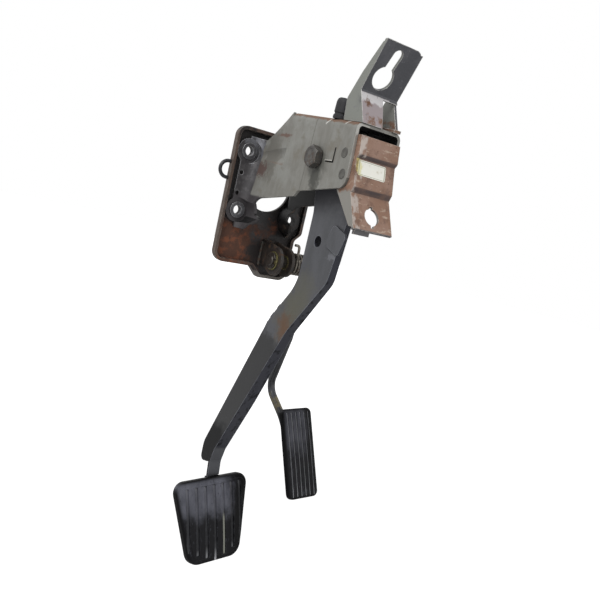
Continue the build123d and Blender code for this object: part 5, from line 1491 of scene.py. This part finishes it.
def make_camera(stage):
    """Camera at the photograph's viewing angle."""
    back = Vector((sin(stage.azimuth) * cos(stage.elevation), -cos(stage.azimuth) * cos(stage.elevation),
                   sin(stage.elevation)))
    level = Vector((cos(stage.azimuth), sin(stage.azimuth), 0.0))
    upright = back.cross(level)
    right = level * cos(stage.roll) + upright * sin(stage.roll)
    up = upright * cos(stage.roll) - level * sin(stage.roll)
    data = bpy.data.cameras.new("Camera")
    data.sensor_width = 36.0
    data.lens = stage.lens
    data.shift_x, data.shift_y = stage.shift
    data.clip_start = 0.01
    camera = bpy.data.objects.new("Camera", data)
    axes = Matrix((right, up, back)).transposed().to_4x4()
    camera.matrix_world = Matrix.Translation(Vector(stage.aim) + back * stage.distance) @ axes
    bpy.context.scene.collection.objects.link(camera)
    bpy.context.scene.camera = camera


def make_lamp(name, place, aim, size, power):
    """A square soft lamp that faces the object."""
    data = bpy.data.lights.new(name, "AREA")
    data.shape = "SQUARE"
    data.size = size
    data.energy = power
    lamp = bpy.data.objects.new(name, data)
    lamp.location = place
    lamp.rotation_euler = (Vector(aim) - Vector(place)).to_track_quat("-Z", "Y").to_euler()
    bpy.context.scene.collection.objects.link(lamp)


def make_world(ambient):
    """Even light, with a plain white background for the camera and for reflections."""
    world = bpy.data.worlds.new("Studio")
    world.use_nodes = True
    tree = world.node_tree
    tree.nodes.clear()
    path = add(tree, "ShaderNodeLightPath")
    mirrored = add(tree, "ShaderNodeMath", {
        0: path.outputs["Is Glossy Ray"], 1: path.outputs["Is Transmission Ray"]}, operation="MAXIMUM")
    seen = add(tree, "ShaderNodeMath", {
        0: path.outputs["Is Camera Ray"], 1: mirrored.outputs[0]}, operation="MAXIMUM")
    soft = add(tree, "ShaderNodeBackground", {"Color": (1, 1, 1, 1), "Strength": ambient})
    white = add(tree, "ShaderNodeBackground", {"Color": (1, 1, 1, 1), "Strength": 1.0})
    mixed = add(tree, "ShaderNodeMixShader", {0: seen.outputs[0], 1: soft.outputs[0], 2: white.outputs[0]})
    add(tree, "ShaderNodeOutputWorld", {"Surface": mixed.outputs[0]})
    bpy.context.scene.world = world


def floor_paper():
    """White studio paper: matt, lifted for the camera until it meets the background's white far off."""
    material, tree = new_finish("white_studio_paper")
    path = add(tree, "ShaderNodeLightPath")
    away = add(tree, "ShaderNodeVectorMath", {0: object_place(tree)}, operation="LENGTH")
    rise = add(tree, "ShaderNodeMapRange", {
        "Value": away.outputs["Value"], "From Min": 0.6, "From Max": 1.6, "To Min": 0.54, "To Max": 1.0},
        interpolation_type="SMOOTHSTEP")
    lift = add(tree, "ShaderNodeEmission", {"Color": (1, 1, 1, 1), "Strength": rise.outputs["Result"]})
    nothing = add(tree, "ShaderNodeEmission", {"Color": (0, 0, 0, 1), "Strength": 0.0})
    glow = add(tree, "ShaderNodeMixShader", {
        0: path.outputs["Is Camera Ray"], 1: nothing.outputs[0], 2: lift.outputs[0]})
    paper = add(tree, "ShaderNodeBsdfPrincipled", {
        "Base Color": linear("e6e6e6"), "Roughness": 0.9, "Specular IOR Level": 0.0})
    total = add(tree, "ShaderNodeAddShader", {0: paper.outputs[0], 1: glow.outputs[0]})
    add(tree, "ShaderNodeOutputMaterial", {"Surface": total.outputs[0]})
    return material


def make_floor(stage):
    """A wide round sheet of paper below the assembly."""
    mesh = bpy.data.meshes.new("studio_floor")
    shape = bmesh.new()
    bmesh.ops.create_circle(shape, cap_ends=True, segments=64, radius=6.0)
    shape.to_mesh(mesh)
    shape.free()
    height = min(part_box(name)[0].z for name in NODES) - stage.floor_gap
    mesh.transform(Matrix.Translation((0.0, 0.0, height)))
    floor = new_object("studio_floor", mesh)
    floor.data.materials.append(floor_paper())


# Operators

class PEDALS_OT_finish_nodes(bpy.types.Operator):
    """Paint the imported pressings, bars, bushes and shafts"""
    bl_idname = "pedals.finish_nodes"
    bl_label = "Finish the pressings"

    def execute(self, context):
        for name, nodes in NODE_FINISHES.items():
            for node in nodes:
                slot = NODES[node].material_slots[0]
                slot.link = "OBJECT"
                slot.material = finish(name)
        return {"FINISHED"}


class PEDALS_OT_pad_covers(bpy.types.Operator):
    """Make the ribbed rubber covers of both pads"""
    bl_idname = "pedals.pad_covers"
    bl_label = "Pad covers"

    def execute(self, context):
        make_pad(context.scene.pedals_brake_pad, "brake_pad_cover", "brake", "brake_pad_rubber")
        make_pad(context.scene.pedals_accel_pad, "accelerator_pad_cover", "accelerator", "accel_pad_rubber")
        return {"FINISHED"}


class PEDALS_OT_springs(bpy.types.Operator):
    """Wind both torsion springs"""
    bl_idname = "pedals.springs"
    bl_label = "Springs"

    def execute(self, context):
        make_springs(context.scene.pedals_springs)
        return {"FINISHED"}


class PEDALS_OT_pivot_fasteners(bpy.types.Operator):
    """Make the pivot bolt and its nut"""
    bl_idname = "pedals.pivot_fasteners"
    bl_label = "Pivot bolt and nut"

    def execute(self, context):
        make_pivot_bolt(context.scene.pedals_detail)
        make_pivot_nut(context.scene.pedals_detail)
        return {"FINISHED"}


class PEDALS_OT_stop_buffer(bpy.types.Operator):
    """Make the rubber stop buffer"""
    bl_idname = "pedals.stop_buffer"
    bl_label = "Stop buffer"

    def execute(self, context):
        make_buffer()
        return {"FINISHED"}


class PEDALS_OT_label(bpy.types.Operator):
    """Stick the bare label on the rear bracket"""
    bl_idname = "pedals.label"
    bl_label = "Bare label"

    def execute(self, context):
        make_label(context.scene.pedals_detail)
        return {"FINISHED"}


class PEDALS_OT_welds(bpy.types.Operator):
    """Lay the weld beads and the spot welds"""
    bl_idname = "pedals.welds"
    bl_label = "Welds"

    def execute(self, context):
        make_beads(context.scene.pedals_detail)
        make_tack_welds(context.scene.pedals_detail)
        make_spot_welds(context.scene.pedals_detail)
        return {"FINISHED"}


class PEDALS_OT_stage(bpy.types.Operator):
    """Set the camera, lamps, background and floor"""
    bl_idname = "pedals.stage"
    bl_label = "Stage"

    def execute(self, context):
        stage = context.scene.pedals_stage
        make_camera(stage)
        make_world(ambient=0.5)
        make_lamp("Key", place=(0.7, -1.4, 1.3), aim=stage.aim, size=1.0, power=19.0)
        make_lamp("Fill", place=(1.6, 0.9, 0.3), aim=stage.aim, size=1.2, power=4.0)
        make_floor(stage)
        context.scene.view_settings.view_transform = "Standard"
        return {"FINISHED"}


STEPS = [PEDALS_OT_finish_nodes, PEDALS_OT_pad_covers, PEDALS_OT_springs, PEDALS_OT_pivot_fasteners,
         PEDALS_OT_stop_buffer, PEDALS_OT_label, PEDALS_OT_welds, PEDALS_OT_stage]


class PEDALS_PT_dressing(bpy.types.Panel):
    """Lists the steps that dress the pedal assembly"""
    bl_idname = "PEDALS_PT_dressing"
    bl_label = "Pedal assembly"
    bl_space_type = "VIEW_3D"
    bl_region_type = "UI"
    bl_category = "Pedals"

    def draw(self, context):
        for step in STEPS:
            self.layout.operator(step.bl_idname)


GROUPS = {
    "pedals_brake_pad": PadSettings, "pedals_accel_pad": PadSettings, "pedals_springs": SpringSettings,
    "pedals_detail": DetailSettings, "pedals_stage": StageSettings,
}
CLASSES = [PadSettings, SpringSettings, DetailSettings, StageSettings, *STEPS, PEDALS_PT_dressing]

ACCEL_PAD = {
    "place": mm(59, 72, -255), "tilt": radians(24.8), "yaw": radians(4.4), "roll": radians(3.0),
    "width": 38 * MM, "foot": 38 * MM, "height": 92 * MM, "thickness": 6.5 * MM, "crown": 1.0 * MM,
    "edge": 1.8 * MM, "border": 0.5 * MM, "step": 0.4 * MM, "top_corner": 6 * MM, "low_corner": 6 * MM,
    "grooves": 6, "pitch": 5.5 * MM, "groove_width": 2.0 * MM, "groove_depth": 1.0 * MM,
    "groove_length": 86 * MM, "groove_drop": 0.8 * MM, "shortening": 0.0, "dust": 0.55, "polish_and_sheen": 0.4,
    "rim": 3.4 * MM,
}


def register():
    """Add the settings, steps and panel to Blender."""
    for cls in CLASSES:
        bpy.utils.register_class(cls)
    for name, group in GROUPS.items():
        setattr(bpy.types.Scene, name, PointerProperty(type=group))


def unregister():
    """Take them out again."""
    for name in GROUPS:
        delattr(bpy.types.Scene, name)
    for cls in reversed(CLASSES):
        bpy.utils.unregister_class(cls)


def main():
    """Dress the assembly step by step."""
    register()
    for name, value in ACCEL_PAD.items():
        setattr(bpy.context.scene.pedals_accel_pad, name, value)
    for step in STEPS:
        group, action = step.bl_idname.split(".")
        getattr(getattr(bpy.ops, group), action)()


if __name__ == "__main__":
    main()
